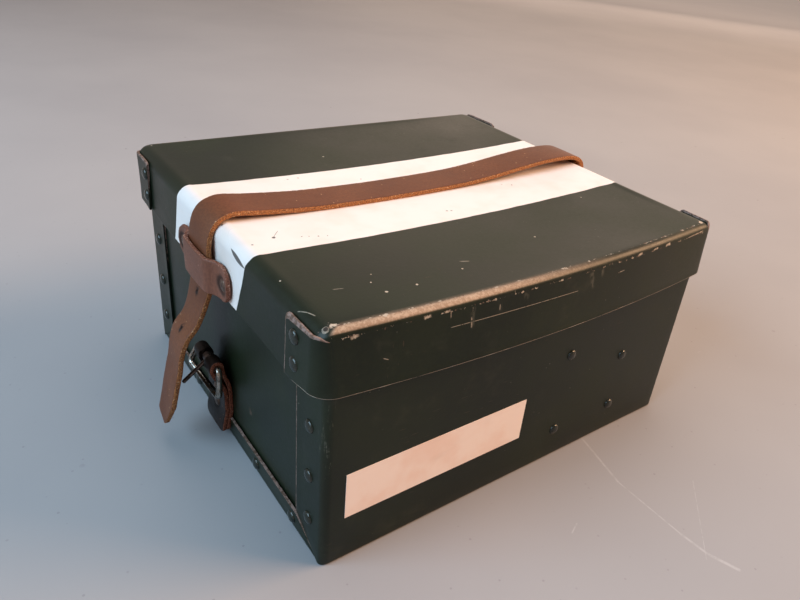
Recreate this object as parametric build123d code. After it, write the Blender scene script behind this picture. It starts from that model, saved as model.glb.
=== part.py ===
from build123d import *
import math
import os

os.makedirs("parts", exist_ok=True)

# A fibre case with a deep cap lid, a leather strap over the lid and a buckle low on the left end.
# X runs along the case, Y from front to back, Z up. The origin is on the floor under its middle.

# Lid
lid_length = 300.0
lid_width = 272.0
total_height = 155.0
rim_depth = 36.0
sheet = 1.6
corner_radius = 12.0
fold_radius = 4.0
front_bow = 8.5
lid_tab_width = 37.0
lid_tab_drop = 4.0
lid_tab_inset = 0.05

# Running gaps between the lid and the case inside it
end_gap = 2.6
side_gap = 1.4
seat_gap = 0.3

# Case
case_corner_radius = 9.0
bottom_fold = 2.2
case_tab_width = 30.0
flange_height = 16.0
slit_width = 0.7
panel_lift = 2.3

# Rivets: a domed head outside, a shank and a flat clenched end inside
head_radius = 4.2
head_height = 1.5
shank_radius = 1.8
clench_radius = 3.1
clench_height = 0.6
rivet_fit = 0.03
washer_radius = 5.0
washer_height = 0.8

corner_rivet_inset = 16.0
corner_rivet_low = 27.0
corner_rivet_pitch = 32.5
corner_rivet_count = 3
flange_rivet_height = 8.0
flange_rivet_pitch = 49.0
flange_rivet_count = 5
lid_rivet_inset = 24.0
lid_rivet_drops = (13.0, 28.5)

# White band on the lid and label on the front, both thin
band_width = 108.0
band_thickness = 0.3
label_length = 127.0
label_height = 31.0
label_thickness = 0.3
label_centre = (-67.5, 47.5)

# Inner pocket riveted behind the front side, its mouth cut on a slope
pocket_rivet_offsets = (30.0, 85.0)
pocket_rivet_low = 24.5
pocket_rivet_tops = (85.0, 67.0)
pocket_ear = 8.0
pocket_depth = 14.0
pocket_side_inset = 8.0

# Strap
strap_centre = 4.0
strap_width = 28.0
strap_thickness = 3.2
strap_standoff = 2.0
strap_lie = 0.1
left_hump = 2.8
right_hump = 4.4
hump_flat = 20.0
hump_slope = 37.0
hump_bend = 12.0
hump_top_bend = 30.0
hump_foot_bend = 60.0
tail_drop = 96.0
tail_reaches = (1.6, 17.0, 27.5)
tail_bends = (12.0, 30.0)
hole_radius = 1.7
hole_spacing = 24.0
first_hole_drop = 5.5
tail_tip_rise_left = 6.0
tail_tip_rise_right = 22.0
joint_gap = 0.4

# Keepers, the leather loops riveted to the lid's rims that hold the strap
keeper_length = 77.0
keeper_height = 22.0
keeper_thickness = 2.8
keeper_bend = 3.0
keeper_rivet_pitch = 62.0
keeper_end_radius = 9.0
left_keeper_overhang = 4.0
right_keeper_rise = 5.0
keeper_clearance = 0.3

# Buckle and the folded leather chape that carries it
wire_radius = 1.75
frame_reach = 20.6
frame_half_width = 17.2
frame_corner = 3.0
frame_lean_degrees = 18.0
prong_radius = 1.3
prong_length = 22.0
prong_lean_degrees = 52.0
prong_curl_radius = 3.3
prong_curl_width = 5.0
bar_fit = 0.1
bar_height = 58.0
bar_standoff = 9.2
chape_thickness = 2.8
chape_layer_gap = 0.1
chape_neck = 3.0
chape_bend = 8.0
chape_neck_bend = 4.0
chape_layer_step = 2.0
chape_bottom_gap = 1.0
chape_meet_height = 46.0
chape_rivet_heights = (22.5, 32.5)
chape_slot = 8.0
chape_slot_drop = 10.0
chape_end_radius = 9.0

# Anchor of the strap low on the right end
anchor_length = 80.0
anchor_rivet_drops = (68.0, 40.0)
anchor_lift_drop = 26.0
anchor_straight = 8.0
anchor_bend = 20.0
anchor_end_radius = 8.0

# Derived levels and faces
rim_level = total_height - rim_depth
lid_face = lid_length / 2 - sheet
lid_inside = lid_face - sheet
case_length = 2 * (lid_inside - end_gap)
case_width = lid_width - 2 * (sheet + side_gap)
case_end = case_length / 2
case_front = case_width / 2
wall_top = total_height - sheet - seat_gap
panel_face = case_end - sheet
hole_size = shank_radius + rivet_fit
strap_face = lid_face + band_thickness + strap_standoff
strap_middle = strap_face + strap_thickness / 2
strap_outside = strap_face + strap_thickness
strap_level = total_height + band_thickness + strap_lie + strap_thickness / 2
hinge_level = rim_level - 1.0
left_keeper_low = rim_level - left_keeper_overhang
right_keeper_low = rim_level + right_keeper_rise
keeper_inner = strap_outside + keeper_clearance
bar_x = -(panel_face + bar_standoff)


# A rivet along X with its head towards -X: the face under the head is at x = 0
def rivet(grip, head=head_radius, clench=clench_radius):
    ball = (head**2 + head_height**2) / (2 * head_height)
    tilt = math.asin(head / ball) / 2
    side = (ball - head_height - ball * math.cos(tilt), ball * math.sin(tilt))
    crown = ThreePointArc((-head_height, 0), side, (0, head))
    outline = crown + Polyline(
        (0, head),
        (0, shank_radius),
        (grip, shank_radius),
        (grip, clench),
        (grip + clench_height, clench),
        (grip + clench_height, 0),
        (-head_height, 0),
    )
    return revolve(make_face(outline), Axis.X)


def rivet_hole(reach=20.0):
    return Rot(0, 90, 0) * Cylinder(hole_size, reach)


def washer():
    ring = Cylinder(washer_radius, washer_height) - Cylinder(hole_size, washer_height)
    return Rot(0, 90, 0) * ring


# Side view of a strip: a centre line of straight runs with round bends, thickened to both sides
def ribbon(points, radii, thickness):
    half = thickness / 2
    directions = []
    for (ax, ay), (bx, by) in zip(points, points[1:]):
        length = math.hypot(bx - ax, by - ay)
        directions.append(((bx - ax) / length, (by - ay) / length))
    left, right = [], []
    for i, (x, y) in enumerate(points):
        before = directions[max(i - 1, 0)]
        after = directions[min(i, len(directions) - 1)]
        nx, ny = -(before[1] + after[1]), before[0] + after[0]
        size = math.hypot(nx, ny)
        nx, ny = nx / size, ny / size
        reach = half / (nx * -after[1] + ny * after[0])
        left.append((x + nx * reach, y + ny * reach))
        right.append((x - nx * reach, y - ny * reach))
    face = make_face(Polyline(*left, *reversed(right), close=True))
    for i, radius in enumerate(radii, start=1):
        before, after = directions[i - 1], directions[i]
        turn = before[0] * after[1] - before[1] * after[0]
        inner, outer = (left, right) if turn > 0 else (right, left)
        for corner, bend in ((inner[i], radius - half), (outer[i], radius + half)):
            vertex = face.vertices().sort_by_distance(Vector(*corner, 0))[0]
            face = fillet(vertex, bend)
    return face


# A strip standing in the XZ plane, as wide as given along Y about the strap's centre line
def strip(points, radii, thickness, width):
    solid = extrude(Plane.XZ * ribbon(points, radii, thickness), width / 2, both=True)
    return Pos(0, strap_centre, 0) * solid


# Plan of the lid, drawn in by an inset; its front side bows out on one arc
def lid_plan(length, inset, radius):
    half = length / 2 - inset
    back = lid_width / 2 - inset
    bow_radius = (lid_length**2 / 4 + front_bow**2) / (2 * front_bow)
    centre = bow_radius - lid_width / 2 - front_bow
    reach = bow_radius - inset
    front = centre - math.sqrt(reach**2 - half**2)
    sides = Polyline((-half, front), (-half, back), (half, back), (half, front))
    bow = ThreePointArc((half, front), (0, centre - reach), (-half, front))
    plan = make_face(sides + bow)
    return fillet(plan.vertices(), radius - inset)


def rounded_block(plan, bottom, top, radius, upper):
    block = Pos(0, 0, bottom) * extrude(plan, top - bottom)
    edges = block.edges().group_by(Axis.Z)[-1 if upper else 0]
    return fillet(edges, radius)


def lid_rivet_places():
    places = []
    for side in (-1, 1):
        for edge in (-1, 1):
            for drop in lid_rivet_drops:
                y = edge * (lid_width / 2 - lid_rivet_inset)
                places.append((side, y, total_height - drop))
    return places


def keeper_rivet_places():
    places = []
    for side, low in ((-1, left_keeper_low), (1, right_keeper_low)):
        for edge in (-1, 1):
            y = strap_centre + edge * keeper_rivet_pitch / 2
            places.append((side, y, low + keeper_height / 2))
    return places


def corner_rivet_places():
    places = []
    for side in (-1, 1):
        for edge in (-1, 1):
            for i in range(corner_rivet_count):
                y = edge * (case_front - corner_rivet_inset)
                places.append((side, y, corner_rivet_low + i * corner_rivet_pitch))
    return places


def flange_rivet_places():
    places = []
    for side in (-1, 1):
        for i in range(flange_rivet_count):
            y = (i - (flange_rivet_count - 1) / 2) * flange_rivet_pitch
            places.append((side, y, flange_rivet_height))
    return places


def pocket_rivet_places():
    places = []
    for x, top in zip(pocket_rivet_offsets, pocket_rivet_tops):
        places += [(x, pocket_rivet_low), (x, top)]
    return places


# Turns a shape made for the left end, head towards -X, to the side asked for
def on_end(shape, side, x, y, z):
    return Pos(side * x, y, z) * Rot(0, 0, 90 * (side + 1)) * shape


def end_holes(places, x):
    return [on_end(rivet_hole(), side, x, y, z) for side, y, z in places]


def side_of(places, side):
    return [place for place in places if place[0] == side]


# The lid: top, ends and long sides of one sheet, with a tab from each long side over each end
def make_lid_shell():
    length = lid_length - 2 * sheet
    radius = corner_radius - sheet / 2
    outside = rounded_block(
        lid_plan(length, 0, radius), rim_level, total_height, fold_radius, True
    )
    inside = rounded_block(
        lid_plan(length, sheet, radius),
        rim_level,
        total_height - sheet,
        fold_radius - sheet,
        True,
    )
    tab_height = rim_depth - lid_tab_drop
    # The tab layer's long sides lie a hair inside the shell's, so no two faces coincide
    tab_length = lid_length + 2 * lid_tab_inset
    tabs = extrude(lid_plan(tab_length, lid_tab_inset, corner_radius), tab_height)
    window = Box(2 * sheet, lid_width - 2 * lid_tab_width, 2 * tab_height)
    for side in (-1, 1):
        tabs -= Pos(side * (lid_face + sheet), 0, tab_height / 2) * window
    shell = outside + Pos(0, 0, rim_level) * tabs - inside
    holes = end_holes(lid_rivet_places() + keeper_rivet_places(), lid_face)
    return shell - holes


# The white band laid over the lid from rim to rim
def make_band():
    height = total_height - rim_level
    profile = []
    for grow in (0, band_thickness):
        half = lid_face + grow
        top = total_height + grow
        face = make_face(
            Polyline(
                (-half, rim_level), (-half, top), (half, top), (half, rim_level),
                close=True,
            )
        )
        corners = face.vertices().group_by(Axis.Y)[-1]
        profile.append(fillet(corners, fold_radius + grow))
    strip_face = Plane.XZ * (profile[1] - profile[0])
    band = extrude(strip_face, band_width / 2, both=True)
    return band - end_holes(keeper_rivet_places(), lid_face)


def make_lid_tab_rivets():
    grip = 2 * sheet
    places = lid_rivet_places()
    return [on_end(rivet(grip), s, lid_length / 2, y, z) for s, y, z in places]


# A keeper: flat at its two riveted ends and humped over the strap between them
def make_keeper(side):
    low = left_keeper_low if side < 0 else right_keeper_low
    wall = lid_face + band_thickness
    flat = wall + keeper_thickness / 2
    hump = keeper_inner + keeper_thickness / 2
    half = keeper_length / 2
    shoulder = strap_width / 2 + 1.0
    foot = shoulder + 1.3 * (hump - flat) + 1.0
    points = [
        (-half, -flat), (-foot, -flat), (-shoulder, -hump),
        (shoulder, -hump), (foot, -flat), (half, -flat),
    ]
    face = ribbon(points, [keeper_bend] * 4, keeper_thickness)
    # The ribbon's first axis becomes Y and its second X
    bent = extrude(Plane((0, 0, 0), (0, 1, 0), (0, 0, -1)) * face, keeper_height)
    bent = Pos(0, strap_centre, low + keeper_height) * bent
    outline = extrude(
        Plane.YZ * RectangleRounded(keeper_length, keeper_height, keeper_end_radius),
        hump + 20,
        both=True,
    )
    outline = Pos(0, strap_centre, low + keeper_height / 2) * outline
    keeper = bent & outline
    if side > 0:
        keeper = mirror(keeper, about=Plane.YZ)
    holes = end_holes(side_of(keeper_rivet_places(), side), lid_face)
    return keeper - holes


def make_keeper_rivets():
    grip = keeper_thickness + band_thickness + sheet + washer_height
    x = lid_face + band_thickness + keeper_thickness
    return [on_end(rivet(grip), s, x, y, z) for s, y, z in keeper_rivet_places()]


def make_keeper_washers():
    x = lid_inside - washer_height / 2
    return [on_end(washer(), s, x, y, z) for s, y, z in keeper_rivet_places()]


# The strap where it lies over the lid, humped a little over both edges
def make_strap_over_lid():
    left_top = strap_level + left_hump
    right_top = strap_level + right_hump
    points = [
        (-strap_middle, left_keeper_low),
        (-strap_middle, left_top),
        (-strap_middle + hump_flat, left_top),
        (-strap_middle + hump_flat + hump_slope, strap_level),
        (strap_middle - hump_flat - hump_slope, strap_level),
        (strap_middle - hump_flat, right_top),
        (strap_middle, right_top),
        (strap_middle, hinge_level + joint_gap / 2),
    ]
    radii = [
        hump_bend, hump_top_bend, hump_foot_bend,
        hump_foot_bend, hump_top_bend, hump_bend,
    ]
    return strip(points, radii, strap_thickness, strap_width)


# The free tail below the left keeper: it bends away from the case, then hangs
def tail_points():
    top = left_keeper_low - joint_gap
    return [
        (-strap_middle, top),
        (-strap_middle - tail_reaches[0], top - 0.12 * tail_drop),
        (-strap_middle - tail_reaches[1], top - 0.42 * tail_drop),
        (-strap_middle - tail_reaches[2], top - tail_drop),
    ]


def make_strap_tail():
    tail = strip(tail_points(), tail_bends, strap_thickness, strap_width)
    top = left_keeper_low - joint_gap
    tip = top - tail_drop
    half = strap_width / 2
    outline = Polyline(
        (half, top + 1),
        (half, tip + tail_tip_rise_left),
        (0.12 * strap_width, tip),
        (-half, tip + tail_tip_rise_right),
        (-half, top + 1),
        close=True,
    )
    cutter = extrude(Plane.YZ * make_face(outline), 2 * strap_middle, both=True)
    tail &= Pos(0, strap_centre, 0) * cutter
    for i in range(2):
        z = top - first_hole_drop - i * hole_spacing
        hole = Rot(0, 90, 0) * Cylinder(hole_radius, 3 * tail_reaches[2])
        tail -= Pos(-strap_middle, strap_centre, z) * hole
    return tail


# The strap's other end: from the hinge bend down to its rivets on the case's right end
def make_strap_anchor():
    flat = panel_face + strap_thickness / 2
    points = [
        (flat, hinge_level - anchor_length),
        (flat, hinge_level - anchor_lift_drop),
        (strap_middle, hinge_level - anchor_straight),
        (strap_middle, hinge_level - joint_gap / 2),
    ]
    anchor = strip(points, [anchor_bend] * 2, strap_thickness, strap_width)
    height = 2 * anchor_length
    outline = Plane.YZ * RectangleRounded(strap_width, height, anchor_end_radius)
    outline = extrude(outline, 2 * strap_middle, both=True)
    anchor &= Pos(0, strap_centre, hinge_level) * outline
    return anchor - end_holes(anchor_rivet_places(), panel_face)


def anchor_rivet_places():
    return [(1, strap_centre, hinge_level - drop) for drop in anchor_rivet_drops]


def make_anchor_rivets():
    grip = strap_thickness + sheet + washer_height
    x = panel_face + strap_thickness
    return [on_end(rivet(grip), s, x, y, z) for s, y, z in anchor_rivet_places()]


def make_anchor_washers():
    x = panel_face - sheet - washer_height / 2
    return [on_end(washer(), s, x, y, z) for s, y, z in anchor_rivet_places()]


# The case: bottom and long sides of one sheet, with tabs and a low flange folded over each end
def make_case_wrap():
    outside = rounded_block(
        RectangleRounded(case_length, case_width, case_corner_radius),
        0,
        wall_top,
        bottom_fold,
        False,
    )
    inside = rounded_block(
        RectangleRounded(
            case_length - 2 * sheet, case_width - 2 * sheet, case_corner_radius - sheet
        ),
        sheet,
        wall_top,
        bottom_fold - sheet,
        False,
    )
    wrap = outside - inside
    tab_edge = case_front - case_tab_width
    window_height = wall_top - flange_height
    for side in (-1, 1):
        x = side * (case_end - sheet / 2)
        window = Box(2 * sheet, 2 * tab_edge, window_height)
        wrap -= Pos(x, 0, flange_height + window_height / 2) * window
        for edge in (-1, 1):
            # A slit from the window's corner down towards the case's foot parts tab and flange
            low = edge * (case_front - bottom_fold - slit_width)
            slit = Polyline(
                (edge * tab_edge, flange_height),
                (edge * (tab_edge - slit_width), flange_height),
                (low, bottom_fold),
                (low, bottom_fold + slit_width),
                close=True,
            )
            cut = extrude(Plane.YZ * make_face(slit), sheet, both=True)
            wrap -= Pos(x, 0, 0) * cut
    wrap -= end_holes(corner_rivet_places() + flange_rivet_places(), panel_face)
    return wrap - [front_hole(x, z) for x, z in pocket_rivet_places()]


def front_hole(x, z):
    return Pos(x, -case_front, z) * Rot(90, 0, 0) * Cylinder(hole_size, 20)


# An end panel stands inside the tabs and the flange
def make_end_panel(side):
    width = 2 * (case_front - case_corner_radius)
    height = wall_top - panel_lift
    panel = Box(sheet, width, height)
    x = side * (panel_face - sheet / 2)
    panel = Pos(x, 0, panel_lift + height / 2) * panel
    places = corner_rivet_places() + flange_rivet_places()
    places += anchor_rivet_places() + chape_rivet_places()
    return panel - end_holes(side_of(places, side), panel_face)


def make_end_rivets(places):
    return [on_end(rivet(2 * sheet), s, case_end, y, z) for s, y, z in places]


def make_front_label():
    x, z = label_centre
    y = -case_front - label_thickness / 2
    return Pos(x, y, z) * Box(label_length, label_thickness, label_height)


# A hat-shaped pocket with two riveted ears, a floor and a sloped mouth
def make_inner_pocket():
    left, right = pocket_rivet_offsets
    wall = -case_front + sheet
    outer_left = left - pocket_ear
    outer_right = right + pocket_ear
    inner_left = left + pocket_side_inset
    inner_right = right - pocket_side_inset
    middle = wall + sheet / 2
    crown = wall + pocket_depth - sheet / 2
    points = [
        (outer_left, middle), (inner_left, middle), (inner_left, crown),
        (inner_right, crown), (inner_right, middle), (outer_right, middle),
    ]
    low = pocket_rivet_low - pocket_ear
    top = max(pocket_rivet_tops) + 2 * pocket_ear
    pocket = Pos(0, 0, low) * extrude(ribbon(points, [2.4] * 4, sheet), top - low)
    floor_length = inner_right - inner_left
    floor_depth = pocket_depth - sheet
    floor = Box(floor_length, floor_depth, sheet)
    floor_y = wall + floor_depth / 2
    pocket += Pos((left + right) / 2, floor_y, low + sheet / 2) * floor
    slope = (pocket_rivet_tops[1] - pocket_rivet_tops[0]) / (right - left)
    high_left = pocket_rivet_tops[0] + pocket_ear + slope * (outer_left - left)
    high_right = pocket_rivet_tops[0] + pocket_ear + slope * (outer_right - left)
    mouth = Polyline(
        (outer_left - 1, low), (outer_left - 1, high_left), (outer_right + 1, high_right),
        (outer_right + 1, low), close=True,
    )
    keep = extrude(Plane.XZ * make_face(mouth), case_front + 1, both=True)
    pocket &= keep
    return pocket - [front_hole(x, z) for x, z in pocket_rivet_places()]


def make_pocket_rivets():
    fixed = []
    for x, z in pocket_rivet_places():
        fixed.append(Pos(x, -case_front, z) * Rot(0, 0, 90) * rivet(2 * sheet, 3.8))
    return fixed


def chape_rivet_places():
    return [(-1, strap_centre, z) for z in chape_rivet_heights]


# The chape: one leather strip folded round the buckle's bar, its two layers riveted to the end
def make_buckle_chape():
    half = chape_thickness / 2
    inner = -(panel_face + half)
    outer = inner - chape_thickness - chape_layer_gap
    loop = wire_radius + bar_fit + half
    low = flange_height + chape_bottom_gap
    under = [
        (inner, low),
        (inner, chape_meet_height),
        (bar_x + loop, bar_height - chape_neck),
        (bar_x + loop, bar_height),
    ]
    over = [
        (outer, low + chape_layer_step),
        (outer, chape_meet_height - 2 * chape_layer_step),
        (bar_x - loop, bar_height - chape_neck),
        (bar_x - loop, bar_height),
    ]
    chape = strip(under, [chape_bend, chape_neck_bend], chape_thickness, strap_width)
    chape += strip(over, [chape_bend, chape_neck_bend], chape_thickness, strap_width)
    # The half turn over the bar that joins the two layers
    turn = Circle(loop + half) - Circle(loop - half)
    turn &= Pos(0, loop) * Rectangle(4 * loop, 2 * loop)
    turn = extrude(Plane.XZ * turn, strap_width / 2, both=True)
    chape += Pos(bar_x, strap_centre, bar_height) * turn
    height = bar_height + 2 * loop - low
    outline = Plane.YZ * RectangleRounded(strap_width, 2 * height, chape_end_radius)
    outline = extrude(outline, 2 * case_end, both=True)
    chape &= Pos(0, strap_centre, low + height) * outline
    slot_top = bar_height + 2 * loop
    slot_low = bar_height - chape_slot_drop
    slot = Box(40, chape_slot, slot_top - slot_low)
    chape -= Pos(bar_x, strap_centre, (slot_top + slot_low) / 2) * slot
    return chape - end_holes(chape_rivet_places(), panel_face)


def make_chape_rivets():
    layers = 2 * chape_thickness + chape_layer_gap
    grip = layers + sheet + washer_height
    x = panel_face + layers
    return [on_end(rivet(grip), s, x, y, z) for s, y, z in chape_rivet_places()]


def make_chape_washers():
    x = panel_face - sheet - washer_height / 2
    return [on_end(washer(), s, x, y, z) for s, y, z in chape_rivet_places()]


# Puts a shape drawn hanging straight down from the bar at its place, leaning away from the case
def on_bar(shape, lean):
    return Pos(bar_x, strap_centre, bar_height) * Rot(0, lean, 0) * shape


def make_buckle_frame():
    wire = RectangleRounded(2 * frame_half_width, frame_reach, frame_corner).wire()
    wire = Pos(0, 0, -frame_reach / 2) * (Plane.YZ * wire)
    start = wire @ 0
    section = Plane(start, z_dir=wire % 0) * Circle(wire_radius)
    return on_bar(sweep(section, wire), frame_lean_degrees)


def make_buckle_prong():
    curl = Rot(90, 0, 0) * Cylinder(prong_curl_radius, prong_curl_width)
    pin = Pos(0, 0, -prong_length / 2) * Cylinder(prong_radius, prong_length)
    pin = fillet(pin.edges().sort_by(Axis.Z)[0], prong_radius * 0.6)
    bore = Rot(90, 0, 0) * Cylinder(wire_radius + bar_fit, 2 * prong_curl_width)
    return on_bar(curl + pin - bore, prong_lean_degrees)


def group(solids):
    return Compound(children=list(solids))


nodes = {
    "case_wrap": make_case_wrap(),
    "left_end_panel": make_end_panel(-1),
    "right_end_panel": make_end_panel(1),
    "corner_rivets": group(make_end_rivets(corner_rivet_places())),
    "flange_rivets": group(make_end_rivets(flange_rivet_places())),
    "front_label": make_front_label(),
    "inner_pocket": make_inner_pocket(),
    "pocket_rivets": group(make_pocket_rivets()),
    "buckle_chape": make_buckle_chape(),
    "chape_rivets": group(make_chape_rivets()),
    "chape_washers": group(make_chape_washers()),
    "strap_anchor": make_strap_anchor(),
    "anchor_rivets": group(make_anchor_rivets()),
    "anchor_washers": group(make_anchor_washers()),
    "lid_shell": make_lid_shell(),
    "lid_band": make_band(),
    "lid_tab_rivets": group(make_lid_tab_rivets()),
    "left_keeper": make_keeper(-1),
    "right_keeper": make_keeper(1),
    "keeper_rivets": group(make_keeper_rivets()),
    "keeper_washers": group(make_keeper_washers()),
    "strap_over_lid": make_strap_over_lid(),
    "strap_tail": make_strap_tail(),
    "buckle_frame": make_buckle_frame(),
    "buckle_prong": make_buckle_prong(),
}

for name, shape in nodes.items():
    export_step(shape, f"parts/{name}.step")
    print(name, round(shape.volume))
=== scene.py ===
import math

import bpy
from mathutils import Vector, Matrix, noise


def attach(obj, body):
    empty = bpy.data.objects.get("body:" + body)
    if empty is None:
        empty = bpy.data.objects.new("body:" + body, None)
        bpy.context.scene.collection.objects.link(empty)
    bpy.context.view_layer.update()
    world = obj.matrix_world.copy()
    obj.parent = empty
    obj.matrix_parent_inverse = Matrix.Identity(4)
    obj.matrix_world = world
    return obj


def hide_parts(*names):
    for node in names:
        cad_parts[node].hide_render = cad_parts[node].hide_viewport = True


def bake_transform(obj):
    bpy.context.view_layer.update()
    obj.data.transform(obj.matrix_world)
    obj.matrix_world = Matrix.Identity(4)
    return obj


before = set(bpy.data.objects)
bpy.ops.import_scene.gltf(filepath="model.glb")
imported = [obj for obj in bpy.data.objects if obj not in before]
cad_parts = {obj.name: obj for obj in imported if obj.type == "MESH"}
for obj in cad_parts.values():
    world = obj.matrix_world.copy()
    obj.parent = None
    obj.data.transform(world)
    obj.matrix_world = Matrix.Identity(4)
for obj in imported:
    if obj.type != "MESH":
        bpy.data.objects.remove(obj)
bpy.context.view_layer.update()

mm = 0.001
tau = 2 * math.pi
print("frame loaded:", len(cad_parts), "nodes")


# Small helpers

def ease(low, high, x):
    t = min(max((x - low) / (high - low), 0.0), 1.0)
    return t * t * (3 - 2 * t)


def mixUp(a, b, t):
    return a + (b - a) * t


def wobble(x, y, z, scale, seed=0.0):
    return noise.noise(Vector((x * scale + seed, y * scale - seed, z * scale + 2 * seed)))


# A smooth line through points, resampled at an even step
def smoothPath(points, step):
    pts = [Vector(p) for p in points]
    pts = [2 * pts[0] - pts[1]] + pts + [2 * pts[-1] - pts[-2]]
    fine = []
    for i in range(1, len(pts) - 2):
        a, b, c, d = pts[i - 1:i + 3]
        for k in range(24):
            t = k / 24
            fine.append(0.5 * (2 * b + (c - a) * t + (2 * a - 5 * b + 4 * c - d) * t ** 2
                               + (3 * b - a - 3 * c + d) * t ** 3))
    fine.append(pts[-2])
    return evenly(fine, step)


def evenly(points, step):
    runs = [0.0]
    for a, b in zip(points, points[1:]):
        runs.append(runs[-1] + (b - a).length)
    count = max(2, round(runs[-1] / step))
    out, j = [], 0
    for k in range(count + 1):
        want = runs[-1] * k / count
        while j < len(runs) - 2 and runs[j + 1] < want:
            j += 1
        span = max(runs[j + 1] - runs[j], 1e-9)
        out.append(points[j].lerp(points[j + 1], (want - runs[j]) / span))
    return out


def linked(name, data):
    made = bpy.data.objects.new(name, data)
    bpy.context.scene.collection.objects.link(made)
    return made


# Closed skins: faces all turned outwards, then made into an object

def turnedOut(points, faces):
    volume = 0.0
    for face in faces:
        first = Vector(points[face[0]])
        for i in range(1, len(face) - 1):
            volume += first.dot(Vector(points[face[i]]).cross(Vector(points[face[i + 1]])))
    return faces if volume > 0 else [tuple(reversed(face)) for face in faces]


def newObject(name, points, faces, marks=None, uvs=None, sharp=38):
    mesh = bpy.data.meshes.new(name)
    mesh.from_pydata([tuple(p) for p in points], [], turnedOut(points, faces))
    mesh.update()
    mesh.polygons.foreach_set("use_smooth", [True] * len(mesh.polygons))
    mesh.set_sharp_from_angle(angle=math.radians(sharp))
    for key, values in (marks or {}).items():
        layer = mesh.attributes.new(key, "FLOAT", "POINT")
        layer.data.foreach_set("value", values)
    if uvs:
        layer = mesh.uv_layers.new(name="alongStrap")
        for loop in mesh.loops:
            layer.data[loop.index].uv = uvs[loop.vertex_index]
    return linked(name, mesh)


def settle(piece, material, body, slot, nodes=()):
    piece.data.materials.clear()
    piece.data.materials.append(material)
    if body:
        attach(piece, body)
    if nodes:
        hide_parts(*nodes)
    return piece


def skinRings(rings, caps=True):
    count = len(rings[0])
    points = [p for ring in rings for p in ring]
    faces = []
    for r in range(len(rings) - 1):
        for i in range(count):
            j = (i + 1) % count
            a, b = r * count, (r + 1) * count
            faces.append((a + i, a + j, b + j, b + i))
    if caps:
        faces.append(tuple(reversed(range(count))))
        faces.append(tuple((len(rings) - 1) * count + i for i in range(count)))
    return points, faces


# A round wire along a closed path
def closedWire(name, path, radius, sides):
    rings = []
    side = None
    for k, centre in enumerate(path):
        ahead = (path[(k + 1) % len(path)] - path[k - 1]).normalized()
        side = side or ahead.orthogonal()
        side = (side - ahead * side.dot(ahead)).normalized()
        up = ahead.cross(side)
        rings.append([centre + (side * math.cos(a) + up * math.sin(a)) * radius
                      for a in (tau * i / sides for i in range(sides))])
    points, faces = skinRings(rings, caps=False)
    last = (len(rings) - 1) * sides
    best = min(range(sides), key=lambda s: (rings[0][s] - rings[-1][0]).length)
    for i in range(sides):
        j = (i + 1) % sides
        faces.append((last + i, last + j, (best + j) % sides, (best + i) % sides))
    return newObject(name, points, faces)


# A strip with a rounded section along a path; low and high give its edges across. turn twists it,
# dimples are the places, radii and depths where rivets draw it in, under marks its lower face as cut
def leatherStrip(name, path, across, low, high, thick, edge=0.7 * mm, crown=0.12 * mm,
                 rough=0.12 * mm, seed=1.0, steps=12, turn=None, dimples=(), edgeMark="cutEdge", under=0.6):
    turns = 4
    half = thick / 2
    base = Vector(across).normalized()
    rings, cut, dark, uvs = [], [], [], []
    run = 0.0
    total = sum((b - a).length for a, b in zip(path, path[1:]))
    for k, centre in enumerate(path):
        if k:
            run += (centre - path[k - 1]).length
        ahead = (path[min(k + 1, len(path) - 1)] - path[max(k - 1, 0)]).normalized()
        axis = Matrix.Rotation(turn(run, total), 3, ahead) @ base if turn else base
        out = ahead.cross(axis).normalized()
        a = low(run, total) + rough * wobble(run, 0, 0, 400, seed)
        b = high(run, total) + rough * wobble(run, 0, 0, 400, seed + 5)
        r = min(edge, (b - a) / 2.5, half * 0.9)
        quarter = math.pi / 2 / turns

        def corner(v, h, start, first, last, mark):
            angles = [(start - i * quarter, mark(i / turns)) for i in range(first, last)]
            return [(v + r * math.cos(t), h + r * math.sin(t), onCut) for t, onCut in angles]

        section = [(mixUp(a + r, b - r, i / steps), half, 0.0) for i in range(steps + 1)]
        section += corner(b - r, half - r, math.pi / 2, 1, turns + 1, lambda t: t)
        section += corner(b - r, r - half, 0.0, 0, turns + 1, lambda t: 1.0)
        section += [(mixUp(b - r, a + r, i / steps), -half, under) for i in range(1, steps + 1)]
        section += corner(a + r, r - half, -math.pi / 2, 1, turns + 1, lambda t: 1.0)
        section += corner(a + r, half - r, math.pi, 0, turns, lambda t: 1 - t)
        ring = []
        for v, h, onCut in section:
            t = 2 * (v - a) / max(b - a, 1e-6) - 1
            lift = crown * (1 - t * t) + 0.05 * mm * wobble(run, v, 0, 260, seed + 9)
            point = centre + axis * v + out * (h + lift)
            shade = 0.0
            # Rivets draw the strip in at each dimple, and a ring of painted shade is marked round it
            for place, radius, depth in dimples:
                away = (point - place).length / radius
                if h > 0 and away < 1.3:
                    point -= out * depth * max(1 - away * away, 0.0) ** 1.5
                    shade = max(shade, ease(0.5, 0.72, away) * ease(1.25, 0.8, away))
            ring.append(point)
            cut.append(onCut if 0 < k < len(path) - 1 else max(onCut, 0.6))
            dark.append(shade)
            uvs.append((run, v))
        rings.append(ring)
    count = len(rings[0])
    points, faces = skinRings(rings, caps=False)
    # Each end is closed by quads from the grain side to the flesh side
    below = steps + 2 * turns + 1
    for start, flip in ((0, True), ((len(rings) - 1) * count, False)):
        shapes = [(i, i + 1, below + steps - 1 - i, below + steps - i) for i in range(steps)]
        shapes.append(tuple(range(steps, below + 1)))
        shapes.append(tuple(range(below + steps, count)) + (0,))
        for shape in shapes:
            faces.append(tuple(start + n for n in (reversed(shape) if flip else shape)))
    return newObject(name, points, faces, {edgeMark: cut, "dark": dark}, uvs)


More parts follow.
